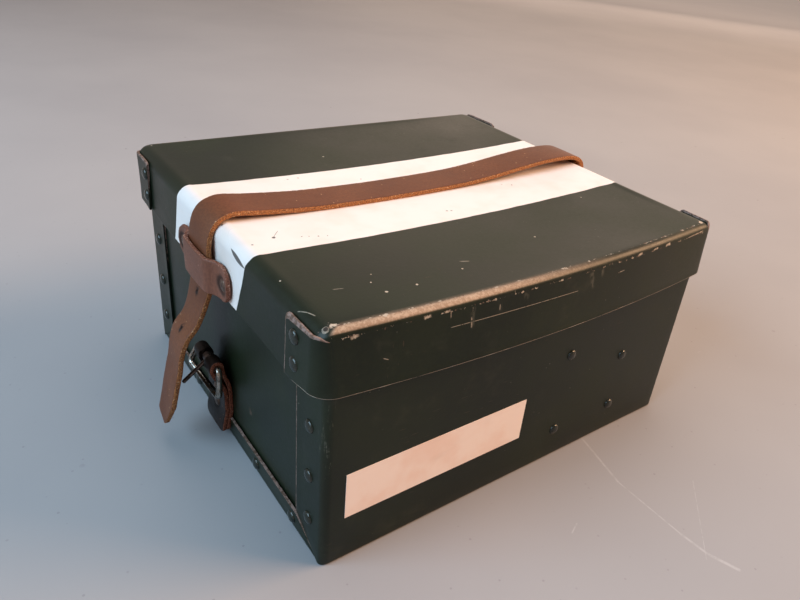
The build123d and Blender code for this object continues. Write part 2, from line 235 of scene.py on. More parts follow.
def roundedEnds(half, radius, ends=(True, True)):
    def inset(run, total):
        d = min(run / radius if ends[0] else 1.0, (total - run) / radius if ends[1] else 1.0, 1.0)
        return radius * (1 - math.sqrt(max(1 - (1 - max(d, 0.0)) ** 2, 0.0))) * 0.96
    return (lambda run, total: -half + inset(run, total),
            lambda run, total: half - inset(run, total))


# Marks the walls of round holes with painted shade
def paintHoleShade(piece, centres, direction, radius, reach=5 * mm):
    layer = piece.data.attributes["dark"].data
    for v in piece.data.vertices:
        for centre in centres:
            away = v.co - centre
            deep = away.dot(direction)
            if abs(deep) < reach and (away - direction * deep).length < radius * 1.08:
                layer[v.index].value = 1.0
    return piece


# Cuts tools out of a piece with a Boolean and keeps the result as a plain mesh
def carve(piece, tools):
    for tool in tools:
        cutting = piece.modifiers.new("cut", "BOOLEAN")
        cutting.operation = "DIFFERENCE"
        cutting.solver = "EXACT"
        cutting.object = tool
    bpy.context.view_layer.update()
    graph = bpy.context.evaluated_depsgraph_get()
    mesh = bpy.data.meshes.new_from_object(piece.evaluated_get(graph), preserve_all_data_layers=True,
                                           depsgraph=graph)
    piece.modifiers.clear()
    piece.data = mesh
    for tool in tools:
        bpy.data.objects.remove(tool)
    return piece


def cutter(rings):
    points, faces = skinRings(rings)
    # The cut walls are marked for painted shade
    return newObject("cutter", points, faces, {"cutEdge": [0.9] * len(points), "dark": [1.0] * len(points)})


def rod(centre, direction, radius, length, sides=20):
    turn = direction.to_track_quat("Z", "Y").to_matrix()
    angles = [tau * i / sides for i in range(sides)]
    return cutter([[centre + turn @ Vector((radius * math.cos(a), radius * math.sin(a), end * length))
                    for a in angles] for end in (-0.5, 0.5)])


# Adds any node to a tree, with its settings, and with values or links for its sockets
def addNode(tree, kind, settings=None, sockets=None):
    node = tree.nodes.new(kind)
    for key, value in (settings or {}).items():
        setattr(node, key, value)
    for key, value in (sockets or {}).items():
        feed(tree, node.inputs[key], value)
    return node


def feed(tree, socket, value):
    if isinstance(value, Value):
        value = value.socket
    if isinstance(value, bpy.types.Node):
        value = value.outputs[0]
    if isinstance(value, bpy.types.NodeSocket):
        tree.links.new(value, socket)
    elif socket.type == "RGBA" and len(value) == 3:
        socket.default_value = (*value, 1.0)
    else:
        socket.default_value = value


# Shader maths: a value on the surface; arithmetic on it adds Math nodes
class Value:
    def __init__(self, finish, socket):
        self.finish = finish
        self.socket = socket

    def join(self, operation, first, second=0.0):
        node = self.finish.add("ShaderNodeMath", {"operation": operation}, {0: first, 1: second})
        return Value(self.finish, node.outputs[0])

    def __add__(self, other):
        return self.join("ADD", self, other)

    def __radd__(self, other):
        return self.join("ADD", other, self)

    def __sub__(self, other):
        return self.join("SUBTRACT", self, other)

    def __rsub__(self, other):
        return self.join("SUBTRACT", other, self)

    def __mul__(self, other):
        return self.join("MULTIPLY", self, other)

    def __rmul__(self, other):
        return self.join("MULTIPLY", other, self)

    def __truediv__(self, other):
        return self.join("DIVIDE", self, other)

    def __rtruediv__(self, other):
        return self.join("DIVIDE", other, self)

    def __abs__(self):
        return self.join("ABSOLUTE", self)

    def least(self, other):
        return self.join("MINIMUM", self, other)

    def most(self, other):
        return self.join("MAXIMUM", self, other)

    # 0 below low, 1 above high, smooth between; high under low turns it round
    def step(self, low, high):
        flip = high < low
        node = self.finish.add("ShaderNodeMapRange", {"interpolation_type": "SMOOTHSTEP"}, {
            "Value": self, "From Min": min(low, high), "From Max": max(low, high),
            "To Min": float(flip), "To Max": float(not flip)})
        return Value(self.finish, node.outputs[0])

    def near(self, centre, reach):
        return abs(self - centre).step(reach, reach * 0.45)


# Values laid over each other: the largest one counts
def strongest(values):
    total, *others = values
    for value in others:
        total = total.most(value)
    return total


# One material: a Principled shader and the coordinates in mm that its textures use
class Finish:
    def __init__(self, name, **constants):
        self.material = bpy.data.materials.new(name)
        self.material.use_nodes = True
        self.tree = self.material.node_tree
        self.tree.nodes.clear()
        self.shader = self.add("ShaderNodeBsdfPrincipled", {}, constants)
        self.add("ShaderNodeOutputMaterial", {}, {"Surface": self.shader})
        self.object = self.add("ShaderNodeTexCoord").outputs["Object"]
        parts = self.add("ShaderNodeSeparateXYZ", {}, {0: self.object})
        self.x, self.y, self.z = (Value(self, s) * (1 / mm) for s in parts.outputs)

    def add(self, kind, settings=None, sockets=None):
        return addNode(self.tree, kind, settings, sockets)

    def set(self, name, value):
        feed(self.tree, self.shader.inputs[name], value)

    def mark(self, name):
        return Value(self, self.add("ShaderNodeAttribute", {"attribute_name": name}).outputs["Fac"])

    def along(self):
        return self.add("ShaderNodeUVMap", {"uv_map": "alongStrap"}).outputs[0]

    def spread(self, scale, detail=2.0, rough=0.5, stretch=(1, 1, 1), shift=(0, 0, 0), where=None):
        mapped = self.add("ShaderNodeMapping", {}, {
            "Vector": where or self.object, "Location": shift, "Scale": stretch})
        node = self.add("ShaderNodeTexNoise", {}, {
            "Vector": mapped, "Scale": scale, "Detail": detail, "Roughness": rough})
        return Value(self, node.outputs[0])

    def cells(self, scale, shift=(0, 0, 0), where=None):
        mapped = self.add("ShaderNodeMapping", {}, {"Vector": where or self.object, "Location": shift})
        node = self.add("ShaderNodeTexVoronoi", {"feature": "F1"}, {"Vector": mapped, "Scale": scale})
        return Value(self, node.outputs[0])

    def mix(self, factor, a, b):
        return self.add("ShaderNodeMix", {"data_type": "RGBA"}, {0: factor, 6: a, 7: b}).outputs[2]

    def bump(self, height, distance, strength=1.0):
        self.set("Normal", self.add("ShaderNodeBump", {}, {
            "Height": height, "Distance": distance, "Strength": strength}))


# Colours by the eye's numbers, 0 to 255, turned to linear light
def tone(red, green, blue):
    def line(c):
        c /= 255
        return c / 12.92 if c <= 0.04045 else ((c + 0.055) / 1.055) ** 2.4
    return tuple(line(c) for c in (red, green, blue))


# Painted fibre: satin green paint over brown vulcanised fibre, which shows where the paint is gone

fibreLook = {
    "paint": tone(13, 23, 13),
    "paintFaded": tone(25, 34, 20),
    # The rubbed tones are worn bare fibre and also a painted highlight: the folds' sheen is painted in as
    # light tan
    "rubbedAndSheen": tone(192, 166, 144),
    "rubbedAndSheenDark": tone(164, 136, 114),
    "chipped": tone(190, 176, 160),
    "bareDark": tone(96, 74, 62),
    "cutFace": tone(146, 120, 111),
    "rim": tone(144, 130, 116),
    "smear": tone(140, 136, 122),
    "white": tone(243, 234, 231),
    "whiteAged": tone(230, 214, 204),
    "dirt": tone(52, 46, 42),
    "dust": tone(128, 126, 116),
    "roughness": 0.40,
}

# The white band across the lid, in mm
bandShape = {
    "front": -53.0,         # its edges on the top
    "back": 51.0,
    "slant": 0.005,         # how much the front edge moves back for each mm to the right
    "fold": 152.5,          # the height from which it runs down the left end
    "drop": 33.5,
    "frontShift": 12.6,     # how far its edges move back on the way down
    "backShift": 9.0,
    "leftEnd": (-138.0, -142.0),
    "soft": 0.25,
    "relief": 2.0,
    "roughness": 0.36,
    # a dark leaf-shaped scrape over the left fold
    "scrape": {"y": -31.5, "length": -19.5, "z": 150.5, "fall": 4.9, "bend": 2.1, "width": 1.45},
}

# Marks seen on this lid, in mm
lidMarks = {
    # on the top: x, y, size
    "flecks": ((-34, 77, 0.7), (-143, -82, 0.5), (-101.5, -113.5, 0.8), (-83.3, -113.7, 0.7),
               (-98.5, -94.1, 0.4), (-103.2, -101.7, 0.5), (-50.4, -109.5, 0.6), (18, -94.6, 0.6),
               (64, 20, 0.5), (96, -60, 0.5)),
    "pit": (-143.6, -129.2, 1.1),
    "bandDots": ((-125.1, -35.9, 0.95), (-124.3, -34.9, 0.5), (-139.4, -40.7, 0.6), (-110, -39.5, 0.4),
                 (-106, -40.6, 0.4), (-101, -42.2, 0.5), (-96, -43.5, 0.4), (-30, 30, 0.5), (66, -20, 0.6)),
    # x, y at both ends and half width
    "topScratches": ((-146.5, -108, -144.2, -113.5, 0.3), (-144.2, -113.5, -142.9, -118, 0.35),
                     (-124, -100.5, -119, -101.5, 0.3), (-46, -101.5, -41, -103.5, 0.5)),
    "bandScratch": (-123.6, -33.6, -119.2, -28.4, 0.22),
    # on the front side: x, z at both ends and half width
    "scratches": ((-79.1, 141.7, -34.4, 141.4, 0.26), (-34.4, 141.4, 10.1, 141.0, 0.24),
                  (-66.1, 147.6, -66.1, 149.4, 0.4), (-66.5, 138.6, -66.6, 144.2, 0.55),
                  (-48.4, 144, -48.3, 147, 0.4), (-117, 134.6, -114.5, 133.4, 0.35),
                  (45.5, 144, 51, 144.3, 0.4)),
    "chips": ((-134, 149.6, -130, 150.4, 1.1), (-95, 150.4, -91.5, 151.1, 1.1),
              (-83, 150.9, -80, 151.1, 0.8), (-79.6, 150.6, -79.5, 147.4, 0.35),
              (63.5, 151.0, 67, 151.4, 0.9), (79, 151.0, 83, 151.4, 0.6),
              (92, 150.8, 96.5, 151.4, 1.0), (118, 150.8, 136, 151.6, 0.45)),
    # soft and upright: x, half width, low z
    "smears": ((-66.3, 2.4, 137), (-48, 1.8, 142), (-30, 2.4, 144), (21.7, 3.4, 138), (30, 2.0, 144)),
}


# 1 on a line between two places in the plane of u and v, 0 off it; uneven roughens its edges
def stroke(u, v, line, uneven=None):
    u0, v0, u1, v1, width = line
    length = math.hypot(u1 - u0, v1 - v0)
    cu, cv = (u1 - u0) / length, (v1 - v0) / length
    du, dv = u - u0, v - v0
    along = du * cu + dv * cv
    away = abs(du * cv - dv * cu)
    if uneven:
        away = away + uneven * width * 1.6
        along = along + uneven * 2.0
    return away.step(width, width * 0.3) * along.step(-0.6, 0.6) * along.step(length + 0.6, length - 0.6)


def spots(f, places, ragged):
    def spot(x, y, size):
        dx, dy = (f.x - x) / size, (f.y - y) / size
        return (dx * dx + dy * dy + (ragged - 0.5) * 2.4).step(1.15, 0.85)
    return strongest([spot(*place) for place in places])


def bandOver(f, colour, roughness, height, broad):
    look, shape = fibreLook, bandShape
    edge = (f.spread(60, 2, 0.5, shift=(1, 7, 3)) - 0.5) * 1.6
    onLeft = f.x.step(*shape["leftEnd"])
    drop = (shape["fold"] - f.z).most(0.0) / shape["drop"] * onLeft
    front = shape["front"] + (f.x + 150.0).most(0.0) * shape["slant"] + drop * shape["frontShift"] + edge
    back = shape["back"] + drop * shape["backShift"] + edge
    soft = shape["soft"]
    band = (f.y - front).step(-soft, soft) * (back - f.y).step(-soft, soft) * f.mark("outside")
    aged = f.spread(26, 3, 0.6, shift=(2, 2, 9)).step(0.42, 0.75) * 0.55
    white = f.mix(aged, look["white"], look["whiteAged"])
    ragged = f.spread(700, 3, 0.6, shift=(8, 1, 1))
    onTop = f.z.step(150.5, 151.5)
    dots = spots(f, lidMarks["bandDots"], ragged) * onTop
    line = stroke(f.x, f.y, lidMarks["bandScratch"]) * onTop
    leaf = shape["scrape"]
    u = (f.y - leaf["y"]) / leaf["length"]
    width = (u * (1.04 - u)).most(0.0) * 4.0 * leaf["width"]
    middle = leaf["z"] - u * leaf["fall"] + u * u * leaf["bend"]
    scrape = (width - abs(f.z - middle)).step(-0.1, 0.25) * onLeft
    specks = f.cells(150).step(0.15, 0.09) * f.spread(40, 2, 0.5, shift=(9, 2, 2)).step(0.60, 0.66)
    dirt = strongest([dots, line, scrape, specks * 0.75])
    white = f.mix(dirt * 0.9, white, look["dirt"])
    colour = f.mix(band, colour, white)
    roughness = roughness * (1 - band) + band * (shape["roughness"] + (broad - 0.5) * 0.2)
    return colour, roughness, height + band * shape["relief"]


def fibreFinish(name, banded=False, inside=False, cased=False):
    look = fibreLook
    f = Finish(name, **{"IOR": 1.5, "Specular IOR Level": 0.27})
    broad = f.spread(14, 3, 0.55)
    fine = f.spread(420, 3, 0.6)
    grain = f.spread(1500, 2, 0.5)
    colour = f.mix((broad * 0.75 + fine * 0.25).step(0.38, 0.66), look["paint"], look["paintFaded"])
    # Fine scratches run mostly along each face
    scratchA = f.spread(90, 2, 0.6, stretch=(1, 14, 14)).step(0.70, 0.75)
    scratchB = f.spread(90, 2, 0.6, stretch=(16, 1, 1.4), shift=(3, 1, 2)).step(0.72, 0.77)
    scratch = scratchA.most(scratchB) * f.spread(22, 2, 0.5, shift=(5, 5, 5)).step(0.48, 0.62)
    specks = f.cells(230, shift=(0.3, 0.1, 0.2)).step(0.11, 0.06)
    specks = specks * f.spread(44, 3, 0.7, shift=(6, 6, 1)).step(0.56, 0.66)
    dust = f.spread(34, 4, 0.7, shift=(1, 4, 8)).step(0.55, 0.8)
    colour = f.mix(scratch * 0.45, colour, look["bareDark"])
    colour = f.mix(specks * 0.5 + dust * 0.07, colour, look["dust"])
    roughness = look["roughness"] + (broad - 0.5) * 0.25 + (fine - 0.5) * 0.12 + scratch * 0.15 + dust * 0.1
    height = grain * 0.35 + fine * 0.65 - scratch * 0.6
    ragged = f.spread(260, 4, 0.65) * 0.7 + f.spread(1100, 2, 0.5) * 0.3
    if banded:
        flecks = spots(f, lidMarks["flecks"], f.spread(900, 3, 0.6)) * f.z.step(149.0, 150.5)
        lines = strongest([stroke(f.x, f.y, line) for line in lidMarks["topScratches"]])
        flecks = flecks.most(lines * f.z.step(146.0, 148.0) * ragged.step(0.36, 0.52) * 0.6)
        front = f.y.step(-128.0, -131.0)
        lines = strongest([stroke(f.x, f.z, line) for line in lidMarks["scratches"]])
        lines = lines * front * ragged.step(0.34, 0.5)
        smears = strongest([(1 - abs(f.x - x) / half).most(0.0) * f.z.step(low, low + 4)
                            for x, half, low in lidMarks["smears"]]) * f.z.step(150.6, 148.6)
        smears = smears * front * f.spread(420, 4, 0.7, stretch=(1, 1, 0.25)).step(0.44, 0.66)
        colour = f.mix(smears * 0.34, colour, look["smear"])
        colour = f.mix(flecks.most(lines * 0.62), colour, look["chipped"])
        uneven = (ragged - 0.5) * 2.0
        chips = strongest([stroke(f.x, f.z, line, uneven) for line in lidMarks["chips"]])
        chips = chips * f.y.step(-126.0, -129.0)
        x, y, size = lidMarks["pit"]
        pit, around = (spots(f, [place], ragged) * f.z.step(145.0, 147.0)
                       for place in ((x, y, size), (x - 0.3, y - 0.2, size * 1.5)))
        colour, roughness, height = bandOver(f, colour, roughness, height, broad)
    if cased:
        # The front left corner is scratched upright
        corner = f.x.step(-136, -141) * f.y.step(-125, -130) * f.z.near(88, 32)
        lines = f.spread(520, 4, 0.7, stretch=(1, 1, 0.12)).step(0.56, 0.72) * ragged.step(0.40, 0.56)
        colour = f.mix(lines * corner * 0.42, colour, look["smear"])
    if not inside:
        # Where the paint is gone, in two tones by patches; on the rubbed folds the light tan is also a
        # painted highlight
        def bare(where, patches, a, b):
            return f.mix(where, colour, f.mix(patches, look[a], look[b]))

        # The rub along the folds: worn bare fibre, lightened as a painted highlight of the folds' sheen
        rub = f.mark("rub")
        rubbedAndSheen = rub * (1.0 + (broad - 0.5) * 0.5) + (grain - 0.5) * 0.5 * rub.least(0.5)
        rubbedAndSheen = rubbedAndSheen.most(0.0).least(0.97)
        patches = f.spread(620, 3, 0.7, shift=(4, 0, 0)).step(0.64, 0.40)
        colour = bare(rubbedAndSheen, patches, "rubbedAndSheen", "rubbedAndSheenDark")
        chipped = (f.mark("chip") + (ragged - 0.5) * 1.25).step(0.61, 0.67)
        patches = f.spread(240, 2, 0.6, shift=(4, 2, 0)).step(0.4, 0.62)
        colour = bare(chipped, patches, "bareDark", "chipped")
        if banded:
            colour = bare(chips.most(around * 0.5), fine.step(0.4, 0.6), "rim", "chipped")
            colour = f.mix(pit, colour, look["dirt"])
        rimmed = (f.mark("rim") + (ragged - 0.5) * 0.9).step(0.44, 0.58)
        patches = f.spread(120, 3, 0.6, shift=(0, 5, 0)).step(0.50, 0.66)
        colour = bare(rimmed * 0.9, patches, "rim", "chipped")
        cut = (f.mark("cutFace") + (ragged - 0.5) * 0.5).step(0.45, 0.6)
        colour = bare(cut, fine.step(0.4, 0.6), "bareDark", "cutFace")
        gone = strongest([chipped, cut, rimmed, rubbedAndSheen])
        roughness = roughness * (1 - gone) + gone * 0.6
        height = height - gone * 1.2
    f.set("Base Color", colour)
    f.set("Roughness", roughness)
    f.bump(height, 0.00006, 0.7)
    return f.material


lidFibre = fibreFinish("lidFibre", banded=True)
caseFibre = fibreFinish("caseFibre", cased=True)
plainFibre = fibreFinish("plainFibre", inside=True)


leatherLook = {
    "grain": tone(96, 49, 25),
    "grainDark": tone(64, 33, 21),
    "grainPale": tone(116, 68, 43),
    "cut": tone(182, 120, 72),
    "cutDark": tone(104, 60, 36),
    "cutSpeck": tone(226, 184, 142),
    # The near-black hole tone paints shade in holes, slots and round sunk rivets
    "hole": tone(22, 14, 11),
    "roughness": 0.50,
}

keeperLook = {
    "grain": tone(104, 60, 44),
    "grainDark": tone(70, 38, 28),
    "grainPale": tone(126, 78, 60),
    "cut": tone(140, 88, 68),
    "cutDark": tone(88, 48, 38),
    "cutSpeck": tone(206, 166, 146),
    "hole": leatherLook["hole"],
    "roughness": 0.46,
}

chapeLook = {
    "grain": tone(24, 17, 15),
    "grainDark": tone(14, 10, 10),
    "grainPale": tone(40, 28, 25),
    "cut": tone(146, 84, 62),
    "cutDark": tone(70, 38, 30),
    "cutSpeck": tone(176, 132, 112),
    "hole": tone(12, 8, 8),
    "roughness": 0.34,
}


def leatherFinish(name, look, shine=0.32):
    f = Finish(name, **{"IOR": 1.48, "Specular IOR Level": shine})
    along = f.along()
    broad = f.spread(24, 3, 0.55, where=along)
    pores = f.cells(2600, where=along)
    creases = f.spread(520, 3, 0.55, stretch=(1.5, 0.8, 1), where=along)
    colour = f.mix(broad.step(0.30, 0.72), look["grain"], look["grainPale"])
    colour = f.mix(creases.step(0.60, 0.40) * 0.3, colour, look["grainDark"])
    scuffs = f.spread(120, 3, 0.7, stretch=(0.5, 2.4, 1), where=along).step(0.64, 0.71)
    nicks = f.cells(230, where=along).step(0.12, 0.07)
    nicks = nicks * f.spread(60, 2, 0.5, shift=(4, 4, 0), where=along).step(0.5, 0.6)
    colour = f.mix(scuffs * 0.4, colour, look["grainPale"])
    colour = f.mix(nicks * 0.7, colour, look["cutSpeck"])
    fibres = f.spread(1100, 4, 0.7)
    specks = f.spread(700, 3, 0.65, shift=(7, 3, 1))
    cutEdge = (f.mark("cutEdge") + (fibres - 0.5) * 0.6).step(0.42, 0.62)
    raw = f.mix(fibres.step(0.38, 0.58), look["cutDark"], look["cut"])
    raw = f.mix(specks.step(0.59, 0.65) * 0.85, raw, look["cutSpeck"])
    raw = f.mix(specks.step(0.36, 0.30) * 0.8, raw, look["grainDark"])
    colour = f.mix(cutEdge, colour, raw)
    # Painted shade in holes and slots and round sunk rivets
    dark = f.mark("dark").least(1.0)
    colour = f.mix(dark * 0.85, colour, look["hole"])
    f.set("Base Color", colour)
    rough = look["roughness"] + (broad - 0.5) * 0.2 + scuffs * 0.12
    f.set("Roughness", rough * (1 - cutEdge) + cutEdge * 0.8 + dark * 0.15)
    f.bump((pores * 0.35 + creases * 0.65) * (1 - cutEdge) + cutEdge * fibres * 2.4, 0.00011, 0.75)
    return f.material


brownLeather = leatherFinish("brownLeather", leatherLook)
keeperLeather = leatherFinish("keeperLeather", keeperLook)
chapeLeather = leatherFinish("chapeLeather", chapeLook, 0.16)


def metalFinish(name, clean, dull, rough, metallic=1.0, tarnish=0.25):
    f = Finish(name, **{"IOR": 1.5})
    spread = f.spread(300, 3, 0.6)
    spots = f.spread(900, 3, 0.65, shift=(3, 3, 3)).step(0.52, 0.66)
    blend = (spread.step(0.42, 0.65) * 0.6 + spots * 0.4).least(1.0)
    f.set("Base Color", f.mix(blend, clean, dull))
    f.set("Metallic", metallic - blend * 0.25 * metallic)
    f.set("Roughness", rough + blend * tarnish)
    f.bump(spread * 0.6 + spots, 0.00004, 0.6)
    return f.material


# Clean and tarnished colour, roughness, and what differs from bare metal
metalLook = {
    "buckleSteel": ((168, 162, 154), (34, 29, 27), 0.11, {}),
    "prongSteel": ((96, 86, 84), (40, 34, 33), 0.24, {}),
    "rivetPaint": ((22, 29, 23), (44, 46, 38), 0.09, {"metallic": 0.0, "tarnish": 0.16}),
    "rivetDull": ((112, 92, 80), (60, 42, 35), 0.3, {"metallic": 0.75}),
}
buckleSteel, prongSteel, rivetPaint, rivetDull = (
    metalFinish(name, tone(*clean), tone(*dull), rough, **other)
    for name, (clean, dull, rough, other) in metalLook.items())

labelLook = {"paper": tone(255, 238, 231), "aged": tone(250, 224, 213), "spot": tone(120, 96, 84)}


def labelFinish():
    f = Finish("labelPaper", **{"IOR": 1.45})
    broad = f.spread(40, 3, 0.6)
    fibres = f.spread(900, 3, 0.6)
    colour = f.mix(broad.step(0.35, 0.7), labelLook["paper"], labelLook["aged"])
    specks = f.cells(90).step(0.09, 0.05) * f.spread(30, 2, 0.5, shift=(2, 9, 2)).step(0.55, 0.62)
    smudge = f.spread(18, 3, 0.6, stretch=(1, 1, 2.5), shift=(0, 3, 3)).step(0.56, 0.75)
    colour = f.mix(specks * 0.6 + smudge * 0.12, colour, labelLook["spot"])
    f.set("Base Color", colour)
    f.set("Roughness", 0.5 + (fibres - 0.5) * 0.2)
    f.bump(fibres, 0.00004, 0.5)
    return f.material


labelPaper = labelFinish()
print("materials made")


# The lid: one closed skin from the middle of the top, over the folds, down the sides and back inside

lidShape = {
    "endFace": 148.4,       # mm, the end sheets' outer faces
    "sideFace": 136.0,      # the long sides' outer faces at the corners
    "bow": 8.5,             # how far the front side bows out at mid length
    "bowReach": 150.0,      # half the length the bow is taken over
    "cornerTop": 4.5,       # plan radius of the corners at the top
    "cornerFold": 7.0,
    "cornerRim": 11.0,
    "top": 155.0,
    "rim": 119.0,
    "sheet": 1.6,
    "longFold": 4.5,
    "frontLean": 2.6,       # how far the front side leans back at the top, at its corners
    "frontBowTop": 6.7,
    "endFold": 7.8,
    "sag": 3.9,
    "endDroop": 3.6,        # how far the left end's rim hangs under the long sides' rims
    "endBulge": 0.8,
    "drift": 0.22,
    "topRings": 22,
    "foldRings": 9,
    "sideRings": (0.03, 0.12, 0.3, 0.5, 0.7, 0.86, 0.95),   # 0 at the fold, 1 at the rim
    "wearAndSheenFrom": (122, 130),     # |y| where the folds' wear and painted highlight start and are full
    "wearAndSheenRight": (50, -60),     # x where the front fold's wear and painted highlight start and are full
}


def bowRadius(bow):
    return (lidShape["bowReach"] ** 2 + bow ** 2) / (2 * bow)


# The corner's centre and where its arc starts, for lengths |x| and |y|
def cornerOf(half, side, bow, r):
    if not bow:
        return Vector((half - r, side - r)), 0.0
    big = bowRadius(bow)
    rise = big - side - bow
    cx = half - r
    cy = math.sqrt((big - r) ** 2 - cx ** 2) - rise
    return Vector((cx, cy)), math.atan2(cx, cy + rise)


# From a long side's middle, round the corner, to the end's middle
def quarter(half, side, bow, r, sideSteps=30, cornerSteps=12, endSteps=26):
    c, lean = cornerOf(half, side, bow, r)
    row = []
    for i in range(sideSteps):
        if bow:
            big, a = bowRadius(bow), lean * i / sideSteps
            n = Vector((math.sin(a), math.cos(a)))
            row.append((n * big + Vector((0, side + bow - big)), n))
        else:
            row.append((Vector((c.x * i / sideSteps, side)), Vector((0, 1))))
    for i in range(cornerSteps + 1):
        a = mixUp(lean, math.pi / 2, i / cornerSteps)
        n = Vector((math.sin(a), math.cos(a)))
        row.append((c + n * r, n))
    for i in range(1, endSteps + 1):
        row.append((Vector((half, c.y * (1 - i / endSteps))), Vector((1, 0))))
    return row


# The front side leans back toward the top, where it is also straighter; down is 0 at the fold, 1 at the rim
def frontSide(down):
    shape = lidShape
    return (shape["sideFace"] - shape["frontLean"] * (1 - down),
            mixUp(shape["frontBowTop"], shape["bow"], down))


# Whole outline seen from above, counter-clockwise from mid front; inset draws the long sides in
def outline(half, inset, down, r):
    front, bow = frontSide(down)

    def placed(side, bend, sx, sy):
        return [(Vector((p.x * sx, p.y * sy)), Vector((n.x * sx, n.y * sy)))
                for p, n in quarter(half, side - inset, bend, r)]
    back = lidShape["sideFace"]
    return (placed(front, bow, 1, -1) + placed(back, 0, 1, 1)[::-1][1:] + placed(back, 0, -1, 1)[1:]
            + placed(front, bow, -1, -1)[::-1][1:-1])


def lidSag(x, y):
    shape = lidShape
    u = min(abs(x) / 146.0, 1.0)
    front, bow = frontSide(0)
    reach = (front + bow * (1 - u * u) if y < 0 else shape["sideFace"]) - shape["longFold"]
    v = min(abs(y) / reach, 1.0)
    return shape["sag"] * (1 - u * u) * (1 - v * v) ** 0.8


def lidDrift(x, y, z):
    return lidShape["drift"] * wobble(x, y, z, 0.016, 4.0)


# The left end's rim hangs lower and stands out a little
def endDroop(x, y):
    plateau = ease(130, 85, y) if y > 0 else ease(-130, -105, y)
    return plateau * (1.0 if x < 0 else 0.4)


def makeLid():
    shape = lidShape
    top, rim, sheet = shape["top"], shape["rim"], shape["sheet"]
    longFold, endFold = shape["longFold"], shape["endFold"]
    rings = []
    marks = {"rub": [], "chip": [], "rim": [], "outside": [], "cutFace": []}

    # One ring of the skin: how far its sides are drawn in, its corner radius, a function for its height,
    # 1 outside or -1 inside, how far down the side it is, and its wear; its rub also paints the folds'
    # highlight
    def ring(inLong, inEnd, corner, height, face, down=0.0, rub=0.0, chip=0.0, rimmed=0.0, cut=0.0,
             scale=None):
        row = []
        for p, n in outline(shape["endFace"] - inEnd, inLong, down, corner):
            z = height(abs(n.x) ** 1.5, p, n)
            if scale is not None:
                p = p * scale
                z += lidDrift(p.x, p.y, z) * scale - lidSag(p.x, p.y)
            else:
                p = p + n * lidDrift(p.x, p.y, z) * 0.6
            row.append(Vector((p.x, p.y, z)) * mm)
            # The rub is wear and a painted highlight, strongest on the front fold at the left
            front, back = (ease(*shape["wearAndSheenFrom"], side) for side in (-p.y, p.y))
            runs = 0.05 + 0.95 * ease(*shape["wearAndSheenRight"], p.x)
            along = ease(0.55, 0.12, abs(n.x))
            marks["rub"].append(rub * along * (front * runs + 0.12 * back))
            marks["chip"].append(chip * (front * 0.58 + back * 0.4 + 0.26 * abs(n.x)))
            marks["rim"].append(rimmed * (0.8 + 0.5 * wobble(p.x, p.y, 0, 0.06, 8.0) - 0.5 * abs(n.x) ** 3))
            marks["outside"].append(1.0 if face > 0 else 0.0)
            marks["cutFace"].append(cut)
        rings.append(row)

    # Heights as functions of w, 0 on the long sides and 1 on the ends, and of the place
    def flat(level):
        return lambda w, p, n: level

    def foldLevel(a, start, under):
        return lambda w, p, n: start - (mixUp(longFold, endFold, w) - under) * (1 - math.sin(a))

    def sideLevel(t, lift=0.0):
        def height(w, p, n):
            low = rim + lift - shape["endDroop"] * w * endDroop(p.x, p.y)
            return mixUp(top - mixUp(longFold, endFold, w), low, t)
        return height

    count, turns = shape["topRings"], shape["foldRings"]
    scales = [0.004] + [i / count for i in range(1, count)] + [0.985]
    for s in scales:
        ring(longFold, endFold, shape["cornerTop"], flat(top), 1, scale=s)
    for i in range(turns + 1):
        t = i / turns
        a = math.pi / 2 * (1 - t)
        # The rub on the fold: wear with a painted highlight
        rub = ease(-0.1, 0.2, t) * ease(0.68, 0.50, t)
        chip = 1.0 - 0.35 * math.sin(math.pi * t)
        ring(longFold * (1 - math.cos(a)), endFold * (1 - math.cos(a)),
             mixUp(shape["cornerTop"], shape["cornerFold"], t), foldLevel(a, top, 0), 1, rub=rub, chip=chip)
    for t in shape["sideRings"]:
        bulge = -shape["endBulge"] * t * t
        ring(0.0, bulge, mixUp(shape["cornerFold"], shape["cornerRim"], t), sideLevel(t), 1, down=t,
             chip=0.7 if t < 0.05 else 0.0)
    out = -shape["endBulge"]
    r = shape["cornerRim"]
    ring(0.0, out, r, sideLevel(1, 1.0), 1, down=1)
    ring(0.0, out, r, sideLevel(1, 0.62), 1, down=1)
    ring(0.0, out, r, sideLevel(1, 0.44), 1, down=1, rimmed=0.85)
    ring(0.08, out + 0.08, r, sideLevel(1, 0.1), 1, down=1, rimmed=1.0)
    ring(0.4, out + 0.4, r, sideLevel(1), 1, down=1, cut=0.5, rimmed=0.7)
    ring(sheet - 0.3, out + sheet - 0.3, r - 1.4, sideLevel(1), 1, down=1, cut=0.8)
    ring(sheet, out + sheet, r - sheet, sideLevel(1, 0.3), -1, down=1, cut=0.2)
    for t in (0.9, 0.6, 0.3, 0.0):
        ring(sheet, sheet - shape["endBulge"] * t * t,
             mixUp(shape["cornerFold"], shape["cornerRim"], t) - sheet, sideLevel(t), -1, down=t)
    for i in range(1, turns + 1):
        t = 1 - i / turns
        a = math.pi / 2 * (1 - t)
        draw = 1 - math.cos(a)
        ring(sheet + (longFold - sheet) * draw, sheet + (endFold - sheet) * draw,
             mixUp(shape["cornerTop"], shape["cornerFold"] - sheet, t),
             foldLevel(a, top - sheet, sheet), -1)
    for s in reversed(scales):
        ring(longFold, endFold, shape["cornerTop"], flat(top - sheet), -1, scale=s)
    points, faces = skinRings(rings)
    return newObject("lidShell", points, faces, marks, sharp=50)


settle(makeLid(), lidFibre, "lid", "green_fibre", ["lid_shell", "lid_band"])
print("lid made")


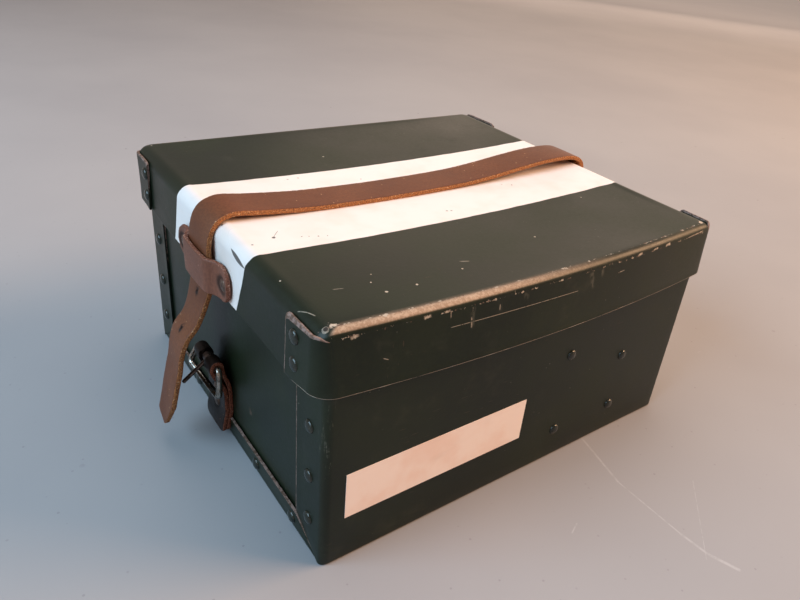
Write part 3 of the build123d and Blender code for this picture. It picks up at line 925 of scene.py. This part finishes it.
# A bent sheet standing on edge. At station k, at(k, z) gives its place and outward direction,
# span(k) its low and high edge, offsets(k) how far out its two faces lie, worn(k) the wear of its upper
# edge and its free end, foot(k) how far its rounded foot reaches under and its radius
def standingSheet(name, count, at, span, offsets, worn, foot=None, bevel=0.0, rimmed=None):
    turns = 4
    rings = []
    marks = {"cutFace": [], "rub": [], "chip": [], "rim": []}
    for k in range(count):
        low, high = span(k)
        outer, inner = offsets(k)
        topWorn, ends = worn(k)
        r = min(0.5, (outer - inner) * 0.35)
        slant = bevel * topWorn
        under, radius = foot(k) if foot else (0.0, 0.0)
        section = []
        if radius:
            section.append((outer - radius - under, low, 0.0, 0.0, 0.0))
            # The foot's fold gets a thin rub in the same light tan, worn fibre and painted highlight
            # together
            for i in range(turns + 1):
                a = math.pi / 2 * i / turns
                section.append((outer - radius + radius * math.sin(a), low + radius * (1 - math.cos(a)),
                                0.0, 0.55 * math.sin(2 * a) * under / 3, 0.35))
        else:
            section.append((outer - 0.25, low, 0.3, 0.0, 0.4))
            for i in range(turns + 1):
                section.append((outer - 0.02 * (turns - i), low + 0.1 * (i + 1), 0.0, 0.0, 0.3))
        for t in (0.06, 0.3, 0.6, 0.9):
            section.append((outer, mixUp(low + max(radius, 0.6), high - r - slant, t), 0.0, 0.0, 0.0))
        section.append((outer, high - r - slant, 0.0, 0.0, 0.3))
        for i in range(1, turns + 1):
            a = math.pi / 2 * i / turns
            section.append((outer - (r + (outer - inner) * 0.35 * topWorn) * (1 - math.cos(a)),
                            high - (r + slant) * (1 - math.sin(a)), 0.75 + 0.25 * i / turns, 0.0, 0.5))
        section.append((inner + 0.1, high, 1.0, 0.0, 0.0))
        section.append((inner, high - 0.2, 0.8, 0.0, 0.0))
        for t in (0.9, 0.6, 0.3, 0.08):
            section.append((inner, mixUp(low + max(radius, 0.6), high, t), 0.0, 0.0, 0.0))
        if radius:
            section.append((inner, low + radius, 0.0, 0.0, 0.0))
            section.append((outer - radius - under, low + 1.6, 0.0, 0.0, 0.0))
        else:
            section.append((inner, low + 0.3, 0.3, 0.0, 0.0))
            section.append((inner + 0.1, low, 0.6, 0.0, 0.0))
        row = []
        for off, z, cut, rub, chip in section:
            p, n = at(k, z)
            q = p + n * off
            row.append(Vector((q.x, q.y, z)) * mm)
            marks["cutFace"].append(max(cut, ends * 0.7))
            marks["rub"].append(rub)
            marks["chip"].append(chip)
            marks["rim"].append(rimmed(k) if rimmed and off > inner + 0.2 and z < low + 0.45 else 0.0)
        rings.append(row)
    points, faces = skinRings(rings)
    return newObject(name, points, faces, marks, sharp=45)


# Tabs: each long side's sheet runs round the corner and lies on the end

# For the left and the right end where two values are given
tabShape = {
    "frontEdge": (103.0, 106.0),    # mm, |y| of the tabs' free edges
    "backEdge": (107.0, 99.0),
    "top": (151.6, 154.3),
    "stand": (0.3, 1.4),            # how far the free edges stand off
    "fold": 150.0,
    "bevel": 4.2,
    "cornerSteps": 14,
    "endSteps": 14,
}


def makeLidTab(name, side, edge):
    shape, tab = lidShape, tabShape
    end = 0 if side < 0 else 1
    free = tab["frontEdge" if edge < 0 else "backEdge"][end]
    corners, ends = tab["cornerSteps"], tab["endSteps"]
    top, low, fold = tab["top"][end], shape["rim"], tab["fold"]

    def at(k, z):
        t = min(max((fold - z) / (fold - low), 0.0), 1.0)
        r = mixUp(shape["cornerFold"], shape["cornerRim"], t)
        face, bow = frontSide(t) if edge < 0 else (shape["sideFace"], 0.0)
        c, lean = cornerOf(shape["endFace"], face, bow, r)
        if k <= corners:
            a = mixUp(lean, math.pi / 2, k / corners)
            n = Vector((math.sin(a), math.cos(a)))
            p = c + n * r
        else:
            n = Vector((1, 0))
            p = Vector((shape["endFace"], mixUp(c.y, free, (k - corners) / ends)))
        p = p + n * (lidDrift(p.x * side, p.y * edge, z) * 0.6 + shape["endBulge"] * n.x ** 2 * t * t)
        return Vector((p.x * side, p.y * edge)), Vector((n.x * side, n.y * edge))

    def toward(k):
        return min(k / corners, 1.0)

    def along(k):
        return max((k - corners) / ends, 0.0)

    def span(k):
        p, n = at(k, low)
        rise = (150.1 - top) * ease(0.75, 0.1, toward(k)) + 0.15 * wobble(p.x, p.y, 0, 0.09, 2.0)
        round_ = ease(0.86, 1.0, along(k)) ** 2 * 1.6
        w = abs(n.x) ** 1.5
        return low - shape["endDroop"] * w * endDroop(side, p.y) * 0.9, top + rise - round_

    def offsets(k):
        grow = toward(k) ** 2
        stand = tab["stand"][end] * along(k) ** 2
        outer = 0.03 + shape["sheet"] * grow + stand - 0.4 * ease(0.2, 0.0, toward(k))
        return outer, outer - shape["sheet"]

    def worn(k):
        free = 1.0 if edge < 0 else 0.4
        return mixUp(0.3, 1.0, along(k)) * toward(k) * free, free if k == corners + ends else 0.0

    def rimmed(k):
        p, n = at(k, low)
        return ease(1.0, 0.4, along(k)) * (0.86 + 0.4 * wobble(p.x, p.y, 0, 0.06, 8.0)) if edge < 0 else 0.0

    made = standingSheet(name, corners + ends + 1, at, span, offsets, worn, bevel=tab["bevel"],
                         rimmed=rimmed)
    return settle(made, caseFibre, "lid", "green_fibre")


for side, sideName in ((-1, "left"), (1, "right")):
    for edge, edgeName in ((-1, "Front"), (1, "Back")):
        makeLidTab(sideName + edgeName + "LidTab", side, edge)
print("lid tabs made")


# The case: a front and a back wall, whose ends turn round the corners, and a bottom with end flanges

caseShape = {
    "half": 144.2,          # mm, outer faces
    "side": 133.0,
    "corner": 5.0,
    "sheet": 1.6,
    "top": 151.4,
    "tabEdge": 103.0,
    "flangeTop": 16.0,
    "slantHeight": 17.3,    # the tabs' low corners are cut off from here
    "slantEnd": 128.0,
    "fold": 2.2,
    "foot": 2.5,
    "flange": ((1.0, 16.0), (0.55, 11.0), (0.1, 6.0), (0.0, 3.4)),     # how far out at each height
    "sideSteps": 24,
    "cornerSteps": 10,
    "endSteps": 14,
}


def makeCaseWall(name, edge):
    shape = caseShape
    half, side, r = shape["half"], shape["side"], shape["corner"]
    sides, corners, ends = shape["sideSteps"], shape["cornerSteps"], shape["endSteps"]
    middle = ends + corners + sides
    count = 2 * middle + 1

    def place(k):
        # From the middle out to a tab's free edge
        j = abs(k - middle)
        sx = -1 if k < middle else 1
        if j <= sides:
            p, n = Vector(((half - r) * j / sides, side)), Vector((0, 1))
        elif j <= sides + corners:
            a = math.pi / 2 * (j - sides) / corners
            n = Vector((math.sin(a), math.cos(a)))
            p = Vector((half - r, side - r)) + n * r
        else:
            n = Vector((1, 0))
            p = Vector((half, mixUp(side - r, shape["tabEdge"], (j - sides - corners) / ends)))
        return Vector((p.x * sx, p.y * edge)), Vector((n.x * sx, n.y * edge))

    def at(k, z):
        p, n = place(k)
        lean = 0.3 * ease(middle - 4, middle, abs(k - middle)) if abs(n.x) > 0.99 else 0.0
        return p + n * (lean + 0.12 * wobble(p.x, p.y, z, 0.02, 6.0)), n

    def span(k):
        p, n = place(k)
        y = abs(p.y)
        low = 0.0
        if abs(n.x) > 0.99:
            slant = (y - shape["tabEdge"]) / (shape["slantEnd"] - shape["tabEdge"])
            low = shape["slantHeight"] * (1 - slant)
        return max(low, 0.0), shape["top"]

    def offsets(k):
        return 0.0, -shape["sheet"]

    def worn(k):
        return 0.1, (1.0 if edge < 0 else 0.3) if k in (0, count - 1) else 0.0

    # Every section has the same number of points, so stations without a foot get a tiny one
    def foot(k):
        p, n = place(k)
        share = abs(n.y) ** 2
        return shape["foot"] * share, max(shape["fold"] * share, 0.3)

    return standingSheet(name, count, at, span, offsets, worn, foot=foot)


def makeCaseBottom():
    shape = caseShape
    level = shape["sheet"] / 2
    out, fold = shape["half"] - level, shape["fold"] - level
    side = [(out + lean, z) for lean, z in shape["flange"]]
    side += [(out - fold + fold * math.cos(a), level + fold - fold * math.sin(a))
             for a in (math.pi / 2 * i / 5 for i in range(6))]
    side += [(out - back, level) for back in (8, 30, 80)]
    points = [(-x, z) for x, z in side] + [(x, z) for x, z in reversed(side)]
    path = smoothPath([Vector((x, 0, z)) * mm for x, z in points], 1.1 * mm)

    def width(run, total):
        z = min(run, total - run) / mm
        z = max(shape["flangeTop"] - z, 0.0)
        return (shape["slantEnd"] + 0.2 - (shape["slantEnd"] - shape["tabEdge"]) * z / shape["slantHeight"]
                - 0.9 * min(z, 1.0)) * mm

    return leatherStrip("caseBottom", path, (0, -1, 0), lambda r, t: -width(r, t), width,
                        shape["sheet"] * mm, edge=0.4 * mm, crown=0.0, rough=0.15 * mm, seed=14.0,
                        edgeMark="cutFace", under=0.0)


settle(makeCaseWall("frontWall", -1), caseFibre, "case", "green_fibre", ["case_wrap"])
settle(makeCaseWall("backWall", 1), caseFibre, "case", "green_fibre")
settle(makeCaseBottom(), caseFibre, "case", "green_fibre")
print("case made")


# The strap: one piece over the lid and down to its loose end, one from the right keeper to its rivets

strapShape = {
    "centre": 4.0,
    "width": 28.0,
    "thickness": 3.2,
    "step": 1.5,
    "over": ((-152.3, 124), (-152.4, 133), (-152.2, 140), (-151.2, 146.5), (-149.0, 152.4),
             (-145.6, 156.3), (-140.6, 158.6), (-134.0, 159.3), (-119, 157.4), (-88, 154.5),
             (-60, 153.4), (-25, 152.8), (25, 153.3), (55, 155.3), (81, 158.2), (105, 160.5),
             (122, 161.2), (134, 160.9), (143.2, 159.2), (149.6, 155.2), (152.2, 149.2),
             (152.6, 142), (152.4, 134)),
    "tail": ((-181.0, 16.5), (-180.0, 25), (-177.9, 38), (-174.7, 52), (-172.5, 61), (-170.6, 72),
             (-167.2, 81.5), (-161.0, 89.5), (-157.3, 98), (-154.2, 108), (-152.6, 114)),
    "tipRiseBack": 4.0,
    "tipRiseFront": 21.0,
    "anchor": ((144.3, 38.2), (144.3, 60), (144.3, 84), (145.2, 92), (148.2, 101), (151.3, 109),
               (152.3, 116), (152.3, 125), (152.3, 133.6)),
    "tailPart": 90,         # stations from the tip that belong to the loose end
    "holeRadius": 1.15,
    "holes": (108.2, 84.7),
    "holeDimple": (2.6, 0.3),       # radius, depth
    "anchorRivets": (50.0, 78.0),
    "anchorDimple": (145.9, 5.2, 0.5),      # x, radius, depth
    "twist": 7.0,           # degrees
}


def strapPath(points, step=None):
    return smoothPath([Vector((x, strapShape["centre"], z)) * mm for x, z in points],
                      (step or strapShape["step"]) * mm)


def levelOn(path, z):
    return min(path, key=lambda p: abs(p.z - z * mm))


def makeMainStrap():
    shape = strapShape
    path = strapPath(shape["tail"] + shape["over"])
    half = shape["width"] / 2 * mm
    riseBack, riseFront = shape["tipRiseBack"] * mm, shape["tipRiseFront"] * mm

    # Across the strap, +Y is the back edge: the tip is cut on a slant to both edges
    def high(run, total):
        return mixUp(0.1 * half, half, min(run / riseBack, 1.0))

    def low(run, total):
        return -mixUp(-0.02 * half, half, min(run / riseFront, 1.0))

    # The loose end is twisted, its front edge further out
    def turn(run, total):
        run /= mm
        return -math.radians(shape["twist"] * ease(-5, 20, run) * ease(105, 75, run))

    tail = path[:shape["tailPart"]]
    reach, depth = shape["holeDimple"]
    dimples = [(levelOn(tail, z) + Vector((-shape["thickness"] / 2, 0, 0)) * mm, reach * mm, depth * mm)
               for z in shape["holes"]]
    made = leatherStrip("strapOverLid", path, (0, 1, 0), low, high, shape["thickness"] * mm,
                        rough=0.35 * mm, seed=2.0, steps=18, turn=turn, dimples=dimples)
    slant = Vector((1, 0, 0.3)).normalized()
    holes = [levelOn(tail, z) for z in shape["holes"]]
    radius = shape["holeRadius"] * mm
    made = carve(made, [rod(p, slant, radius, 30 * mm) for p in holes])
    # The holes' walls get painted shade
    return paintHoleShade(made, holes, slant, radius)


mainStrap = settle(makeMainStrap(), brownLeather, None, "brown_leather", ["strap_over_lid", "strap_tail"])
low, high = roundedEnds(strapShape["width"] / 2 * mm, 9 * mm, (True, False))
x, radius, depth = strapShape["anchorDimple"]
anchorDimples = [(Vector((x, strapShape["centre"], z)) * mm, radius * mm, depth * mm)
                 for z in strapShape["anchorRivets"]]
anchorStrap = leatherStrip("strapAnchor", strapPath(strapShape["anchor"]), (0, 1, 0), low, high,
                           strapShape["thickness"] * mm, rough=0.2 * mm, seed=7.0, dimples=anchorDimples)
settle(anchorStrap, brownLeather, None, "brown_leather", ["strap_anchor"])
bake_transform(mainStrap)
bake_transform(anchorStrap)
print("strap made")


# Keepers: thick leather loops over the strap, riveted at both ends

keeperShape = {
    "height": 22.0,
    "thickness": 2.6,
    "end": 10.0,
    "left": 115.0,
    "right": 124.0,
    "rivetY": 31.0,
    "path": ((-38.5, 151.1), (-31, 150.6), (-25.5, 150.8), (-21.0, 152.4), (-17.0, 155.0),
             (-12.5, 155.8), (0, 156.1), (12.5, 155.8), (17.0, 155.0), (21.0, 152.4),
             (25.5, 150.8), (31, 150.6), (38.5, 151.1)),
    "dimple": (151.9, 6.2, 1.1),    # x, radius, depth
}


def makeKeeper(name, side, low, seed):
    shape = keeperShape
    level = low + shape["height"] / 2
    points = [Vector((side * x, strapShape["centre"] + y, level)) * mm for y, x in shape["path"]]
    if side < 0:
        points.reverse()
    out, radius, depth = shape["dimple"]
    dimples = [(Vector((side * out, strapShape["centre"] + y, level)) * mm, radius * mm, depth * mm)
               for y in (-shape["rivetY"], shape["rivetY"])]
    down, up = roundedEnds(shape["height"] / 2 * mm, shape["end"] * mm)
    return leatherStrip(name, smoothPath(points, 0.8 * mm), (0, 0, 1), down, up,
                        shape["thickness"] * mm, edge=0.9 * mm, crown=0.25 * mm, rough=0.4 * mm,
                        seed=seed, steps=26, dimples=dimples)


for end, side, seed in (("left", -1, 3.0), ("right", 1, 6.0)):
    settle(makeKeeper(end + "Keeper", side, keeperShape[end], seed), keeperLeather, "lid",
           "brown_leather", [end + "_keeper"])
print("keepers made")


# The buckle's chape: one strip folded over the bar, slotted for the prong

chapeShape = {
    "thickness": 2.7,
    "barX": -151.8,
    "barZ": 58.0,
    "loop": 3.25,
    "outer": ((-149.2, 5.0), (-148.9, 12), (-147.1, 20), (-146.9, 30), (-147.2, 37), (-149.6, 44.5),
              (-153.6, 51.5), (-155.0, 56.0)),
    "inner": ((-148.5, 56.0), (-147.2, 50), (-145.1, 43.5), (-144.1, 37), (-144.0, 30), (-144.1, 20),
              (-145.9, 13), (-146.4, 5.2)),
    "end": 3.5,
    "slotWidth": 8.0,
    "slotLow": 48.0,
    "rivets": (22.5, 32.5),
    "dimple": (-148.3, 5.6, 0.7),   # x, radius, depth
}


def makeChape():
    shape = chapeShape
    bar = Vector((shape["barX"], shape["barZ"]))
    turn = [bar + Vector((-math.cos(a), math.sin(a))) * shape["loop"]
            for a in (math.pi * i / 8 for i in range(9))]
    points = list(shape["outer"]) + [tuple(p) for p in turn] + list(shape["inner"])
    low, high = roundedEnds(strapShape["width"] / 2 * mm, shape["end"] * mm)
    centre = strapShape["centre"]
    x, radius, depth = shape["dimple"]
    dimples = [(Vector((x, centre, z)) * mm, radius * mm, depth * mm) for z in shape["rivets"]]
    made = leatherStrip("buckleChape", strapPath(points, 1.2), (0, 1, 0), low, high,
                        shape["thickness"] * mm, edge=0.6 * mm, crown=0.1 * mm, rough=0.3 * mm,
                        seed=11.0, steps=20, dimples=dimples)
    top, bottom = shape["barZ"] + 12, shape["slotLow"]
    half = shape["slotWidth"] / 2
    rows = []
    for x in (shape["barX"] - 20, shape["barX"] + 20):
        row = [(x, centre - half, top), (x, centre + half, top)]
        for i in range(9):
            a = math.pi * i / 8
            row.append((x, centre + half * math.cos(a), bottom + half - half * math.sin(a)))
        rows.append([Vector(p) * mm for p in row])
    return carve(made, [cutter(rows)])


settle(makeChape(), chapeLeather, "case", "dark_leather", ["buckle_chape"])


# The buckle's wire frame, bent a little askew, as hung on its bar

frameShape = {
    "radius": 2.0,
    "bar": ((-151.8, -13.2, 58.0), (-151.8, 21.2, 58.0)),
    "corners": ((-153.2, -14.4, 38.4), (-158.2, 21.8, 46.6)),
    "bend": 4.0,
}


def makeFrame():
    shape = frameShape
    a, b = (Vector(p) for p in shape["bar"])
    c, d = (Vector(p) for p in shape["corners"])
    ring = [a, c, d, b]
    path = []
    for k, corner in enumerate(ring):
        before, after = ring[k - 1], ring[(k + 1) % 4]
        start = corner + (before - corner).normalized() * shape["bend"]
        stop = corner + (after - corner).normalized() * shape["bend"]
        for i in range(9):
            t = i / 8
            path.append((start * (1 - t) ** 2 + corner * 2 * t * (1 - t) + stop * t * t) * mm)
        nextStart = after + (corner - after).normalized() * shape["bend"]
        for i in range(1, 10):
            path.append(stop.lerp(nextStart, i / 10) * mm)
    return closedWire("buckleFrame", path, shape["radius"] * mm, 18)


settle(makeFrame(), buckleSteel, "buckle", "buckle_steel", ["buckle_frame"])
print("chape and buckle frame made")


# Rivets by Geometry Nodes: a domed head, a shank and a flat clenched end at each point

def rivetTree():
    tree = bpy.data.node_groups.new("rivetSet", "GeometryNodeTree")
    face = tree.interface
    face.new_socket("Geometry", in_out="INPUT", socket_type="NodeSocketGeometry")
    for name, value in (("Head Radius", 0.0042), ("Head Height", 0.0019), ("Shank Radius", 0.0018),
                        ("Grip", 0.0032), ("Clench Radius", 0.0031), ("Clench Height", 0.0006),
                        ("Spread", 0.05)):
        made = face.new_socket(name, in_out="INPUT", socket_type="NodeSocketFloat")
        made.default_value = value
    face.new_socket("Seed", in_out="INPUT", socket_type="NodeSocketInt")
    face.new_socket("Material", in_out="INPUT", socket_type="NodeSocketMaterial")
    face.new_socket("Geometry", in_out="OUTPUT", socket_type="NodeSocketGeometry")

    def add(kind, settings=None, sockets=None):
        return addNode(tree, kind, settings, sockets)

    def maths(operation, a, b):
        return add("ShaderNodeMath", {"operation": operation}, {0: a, 1: b})

    def vector(x, y, z):
        return add("ShaderNodeCombineXYZ", {}, {0: x, 1: y, 2: z})

    # A cylinder whose top lies a little under the head
    def cylinder(corners, radius, depth, under):
        plain = add("GeometryNodeMeshCylinder", {}, {"Vertices": corners, "Radius": radius, "Depth": depth})
        middle = maths("SUBTRACT", maths("MULTIPLY", depth, -0.5), under)
        return add("GeometryNodeTransform", {}, {
            "Geometry": plain, "Translation": vector(0.0, 0.0, middle)})

    given = add("NodeGroupInput").outputs
    ball = add("GeometryNodeMeshUVSphere", {}, {"Segments": 28, "Rings": 14, "Radius": 1.0})
    size = vector(given["Head Radius"], given["Head Radius"], given["Head Height"])
    dome = add("GeometryNodeTransform", {}, {"Geometry": ball, "Scale": size})
    parts = add("ShaderNodeSeparateXYZ", {}, {0: add("GeometryNodeInputPosition")}).outputs
    flat = vector(parts[0], parts[1], maths("MAXIMUM", parts[2], -0.0001))
    head = add("GeometryNodeSetPosition", {}, {"Geometry": dome, "Position": flat})
    shank = cylinder(20, given["Shank Radius"], given["Grip"], 0.0)
    clench = cylinder(24, given["Clench Radius"], given["Clench Height"], given["Grip"])
    whole = add("GeometryNodeJoinGeometry")
    for part in (head, shank, clench):
        feed(tree, whole.inputs[0], part)
    facing = add("GeometryNodeInputNamedAttribute", {"data_type": "FLOAT_VECTOR"}, {"Name": "facing"})
    turn = add("FunctionNodeAlignRotationToVector", {"axis": "Z"}, {"Vector": facing})
    scale = add("FunctionNodeRandomValue", {"data_type": "FLOAT"}, {
        2: maths("SUBTRACT", 1.0, given["Spread"]), 3: 1.0, "Seed": given["Seed"]})
    placed = add("GeometryNodeInstanceOnPoints", {}, {
        "Points": given["Geometry"], "Instance": whole, "Rotation": turn, "Scale": scale.outputs[1]})
    real = add("GeometryNodeRealizeInstances", {}, {"Geometry": placed})
    painted = add("GeometryNodeSetMaterial", {}, {"Geometry": real, "Material": given["Material"]})
    add("NodeGroupOutput", {}, {"Geometry": painted})
    return tree


rivets = rivetTree()


# places: points under the head in mm, facing: which way each head looks
def makeRivets(name, places, material, body, slot, node, **inputs):
    mesh = bpy.data.meshes.new(name)
    mesh.from_pydata([tuple(Vector(p) * mm) for p, n in places], [], [])
    facing = mesh.attributes.new("facing", "FLOAT_VECTOR", "POINT")
    facing.data.foreach_set("vector", [c for p, n in places for c in n])
    seedbed = linked(name + "Points", mesh)
    modifier = seedbed.modifiers.new("rivets", "NODES")
    modifier.node_group = rivets
    inputs["Material"] = material
    for item in rivets.interface.items_tree:
        if item.in_out == "INPUT" and item.name in inputs:
            modifier[item.identifier] = inputs[item.name]
    bpy.context.view_layer.update()
    graph = bpy.context.evaluated_depsgraph_get()
    real = bpy.data.meshes.new_from_object(seedbed.evaluated_get(graph), depsgraph=graph)
    bpy.data.objects.remove(seedbed)
    real.polygons.foreach_set("use_smooth", [True] * len(real.polygons))
    real.set_sharp_from_angle(angle=math.radians(40))
    return settle(linked(name, real), material, body, slot, [node])


rivetPlaces = {
    "cornerX": 144.3, "cornerY": 117.0, "cornerZ": (25.0, 56.0, 89.5),
    "flangeX": 144.6, "flangeZ": 8.0, "flangeY": (-98.0, -49.0, 0.0, 49.0, 98.0),
    "lidX": 150.4, "lidY": 112.0, "lidZ": (142.0, 126.5),
    "pocket": ((30.0, 24.5), (30.0, 85.0), (85.0, 24.5), (85.0, 67.0)), "pocketY": -133.0,
    "keeperX": 151.0, "chapeX": 147.9, "anchorX": 145.5,
}


def bothEnds(x, ys, zs):
    return [((side * x, y, z), (side, 0, 0)) for side in (-1, 1) for y in ys for z in zs]


at = rivetPlaces
centre = strapShape["centre"]
makeRivets("cornerRivets", bothEnds(at["cornerX"], (-at["cornerY"], at["cornerY"]), at["cornerZ"]),
           rivetPaint, "case", "painted_rivet", "corner_rivets", Seed=1)
# The left end's middle flange rivet is hidden under the chape
flangePlaces = [item for item in bothEnds(at["flangeX"], at["flangeY"], (at["flangeZ"],))
                if item[0][0] > 0 or item[0][1]]
makeRivets("flangeRivets", flangePlaces, rivetPaint, "case", "painted_rivet", "flange_rivets", Seed=2)
makeRivets("lidTabRivets", bothEnds(at["lidX"], (-at["lidY"], at["lidY"]), at["lidZ"]),
           rivetPaint, "lid", "painted_rivet", "lid_tab_rivets", Seed=3)
makeRivets("pocketRivets", [((x, at["pocketY"], z), (0, -1, 0)) for x, z in at["pocket"]],
           rivetPaint, "case", "painted_rivet", "pocket_rivets", **{"Head Radius": 0.0038, "Seed": 4})
keeperPlaces = [((side * at["keeperX"], centre + y, low + keeperShape["height"] / 2), (side, 0, 0))
                for side, low in ((-1, keeperShape["left"]), (1, keeperShape["right"]))
                for y in (-keeperShape["rivetY"], keeperShape["rivetY"])]
makeRivets("keeperRivets", keeperPlaces, rivetDull, "lid", "dull_rivet", "keeper_rivets",
           **{"Grip": 0.0055, "Head Height": 0.0016, "Seed": 5})
makeRivets("chapeRivets", [((-at["chapeX"], centre, z), (-1, 0, 0)) for z in chapeShape["rivets"]],
           rivetDull, "case", "dull_rivet", "chape_rivets",
           **{"Grip": 0.0078, "Head Height": 0.0016, "Seed": 6})
makeRivets("anchorRivets", [((at["anchorX"], centre, z), (1, 0, 0)) for z in strapShape["anchorRivets"]],
           rivetDull, "case", "dull_rivet", "anchor_rivets", **{"Grip": 0.0054, "Seed": 7})
print("rivets made")


# The CAD nodes that stay get their finishes

stays = {
    "left_end_panel": caseFibre,
    "right_end_panel": caseFibre,
    "inner_pocket": plainFibre,
    "front_label": labelPaper,
    "chape_washers": rivetDull,
    "anchor_washers": rivetDull,
    "keeper_washers": rivetDull,
    "buckle_prong": prongSteel,
}
for node, material in stays.items():
    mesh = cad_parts[node].data
    mesh.materials.clear()
    mesh.materials.append(material)
print("CAD nodes finished")


# Stage: pale floor, soft lamps, camera

floorLook = {
    "size": 14.0,
    "colour": tone(170, 170, 174),
    "stain": tone(161, 161, 166),
    "mark": tone(120, 116, 122),
    "scratch": tone(206, 207, 212),
    "far": tone(148, 130, 118),
    "farFrom": (2200.0, 3500.0),    # mm from the middle
    # light scratches, in mm
    "strokes": ((66, -131, 54.8, -176, 1.1), (54.8, -176, 54.8, -226, 0.7), (54.8, -226, 56.4, -245, 1.2),
                (56.4, -245, 63, -263, 1.6), (-4.3, -189.6, 4.2, -185.7, 0.6), (102, -202, 52, -247, 0.3)),
}


def makeFloor():
    size = floorLook["size"]
    sides = 64
    angles = [tau * i / sides for i in range(sides)]
    points = [(0, 0, 0)] + [(size * math.cos(a), size * math.sin(a), 0) for a in angles]
    mesh = bpy.data.meshes.new("floor")
    mesh.from_pydata(points, [], [(0, i + 1, (i + 1) % sides + 1) for i in range(sides)])
    floor = linked("floor", mesh)
    f = Finish("floorPaint", **{"Specular IOR Level": 0.2})
    broad = f.spread(2.2, 4, 0.55)
    colour = f.mix(broad.step(0.25, 0.75), floorLook["colour"], floorLook["stain"])
    specks = f.cells(26).step(0.055, 0.03) * f.spread(9, 2, 0.5, shift=(2, 5, 0)).step(0.50, 0.60)
    fine = f.cells(95, shift=(3, 1, 0)).step(0.09, 0.05)
    fine = fine * f.spread(26, 3, 0.6, shift=(4, 5, 0)).step(0.42, 0.56)
    specks = specks.most(fine * 0.7)
    scuffs = f.spread(70, 4, 0.7, stretch=(1, 1.6, 1)).step(0.68, 0.78)
    lines = f.spread(30, 2, 0.55, stretch=(1, 14, 1)).step(0.74, 0.76)
    lines = lines * f.spread(5, 2, 0.5).step(0.55, 0.66)
    strokes = strongest([stroke(f.x, f.y, line) for line in floorLook["strokes"]])
    lines = lines.most(strokes * f.spread(160, 3, 0.6).step(0.30, 0.62))
    colour = f.mix(lines * 0.38, colour, floorLook["scratch"])
    colour = f.mix(specks * 0.5 + scuffs * 0.12, colour, floorLook["mark"])
    f.set("Base Color", colour)
    f.set("Roughness", 0.7)
    # Far off, beyond the lamps, the camera and reflections see a plain backdrop tone
    rays = f.add("ShaderNodeLightPath").outputs
    seen = Value(f, rays["Is Camera Ray"]).most(rays["Is Glossy Ray"]).most(rays["Is Transmission Ray"])
    away = f.x * f.x + f.y * f.y
    far = away.join("SQRT", away).step(*floorLook["farFrom"]) * seen
    f.set("Emission Color", f.mix(far, (0.0, 0.0, 0.0), floorLook["far"]))
    f.set("Emission Strength", 1.0)
    floor.data.materials.append(f.material)


makeFloor()

lampTarget = (0, 0, 0.08)
lampSetup = {
    "warm": {"at": (2.2, -1.25, 1.6), "size": (1.8, 1.4), "power": 112.0, "colour": (1.0, 0.60, 0.34)},
    "cool": {"at": (-1.9, 0.1, 1.3), "size": (1.8, 1.4), "power": 52.0, "colour": (0.52, 0.79, 1.0)},
    "over": {"at": (0.3, 0.3, 2.1), "size": (1.8, 1.6), "power": 17.0, "colour": (1.0, 0.97, 0.93)},
    "glow": {"at": (2.2, 1.9, 0.75), "size": (2.6, 1.2), "power": 12.0, "colour": (1.0, 0.74, 0.55)},
}


def makeLamp(name, setup):
    lamp = bpy.data.lights.new(name, "AREA")
    lamp.shape = "RECTANGLE"
    lamp.size, lamp.size_y = setup["size"]
    lamp.energy = setup["power"]
    lamp.color = setup["colour"]
    made = linked(name, lamp)
    made.location = setup["at"]
    aim = Vector(lampTarget) - made.location
    made.rotation_euler = aim.to_track_quat("-Z", "Y").to_euler()


for name, setup in lampSetup.items():
    makeLamp(name + "Lamp", setup)

worldLook = {"light": (0.28, 0.25, 0.23), "strength": 0.5, "seen": tone(172, 160, 152)}


def makeWorld():
    world = bpy.data.worlds.new("studio")
    bpy.context.scene.world = world
    world.use_nodes = True
    tree = world.node_tree
    tree.nodes.clear()
    lit, seen = (addNode(tree, "ShaderNodeBackground", {}, {"Color": colour, "Strength": strength})
                 for colour, strength in ((worldLook["light"], worldLook["strength"]),
                                          (worldLook["seen"], 1.0)))
    path = addNode(tree, "ShaderNodeLightPath").outputs
    rays = path["Is Camera Ray"]
    for kind in ("Is Glossy Ray", "Is Transmission Ray"):
        rays = addNode(tree, "ShaderNodeMath", {"operation": "MAXIMUM"}, {0: rays, 1: path[kind]})
    choose = addNode(tree, "ShaderNodeMixShader", {}, {0: rays, 1: lit, 2: seen})
    addNode(tree, "ShaderNodeOutputWorld", {}, {"Surface": choose})


makeWorld()

cameraSetup = {
    "at": (-0.27036, -0.35479, 0.32315),
    "target": (0.03218, 0.00515, 0.060),
    "roll": 0.12165,
    "sensor": 36,
    "focal": 688.33 / 800,      # in widths of the picture
    "shift": (-0.05, -0.0125),
    "clip": (0.01, 50),
}


def makeCamera():
    data = bpy.data.cameras.new("camera")
    data.sensor_width = cameraSetup["sensor"]
    data.lens = cameraSetup["focal"] * cameraSetup["sensor"]
    data.shift_x, data.shift_y = cameraSetup["shift"]
    data.clip_start, data.clip_end = cameraSetup["clip"]
    made = linked("camera", data)
    at = Vector(cameraSetup["at"])
    ahead = (Vector(cameraSetup["target"]) - at).normalized()
    right = ahead.cross(Vector((0, 0, 1))).normalized()
    up = right.cross(ahead)
    c, s = math.cos(cameraSetup["roll"]), math.sin(cameraSetup["roll"])
    right, up = right * c + up * s, up * c - right * s
    made.matrix_world = Matrix.Translation(at) @ Matrix((right, up, -ahead)).transposed().to_4x4()
    bpy.context.scene.camera = made


makeCamera()
bpy.context.scene.view_settings.view_transform = "Standard"
print("stage made")
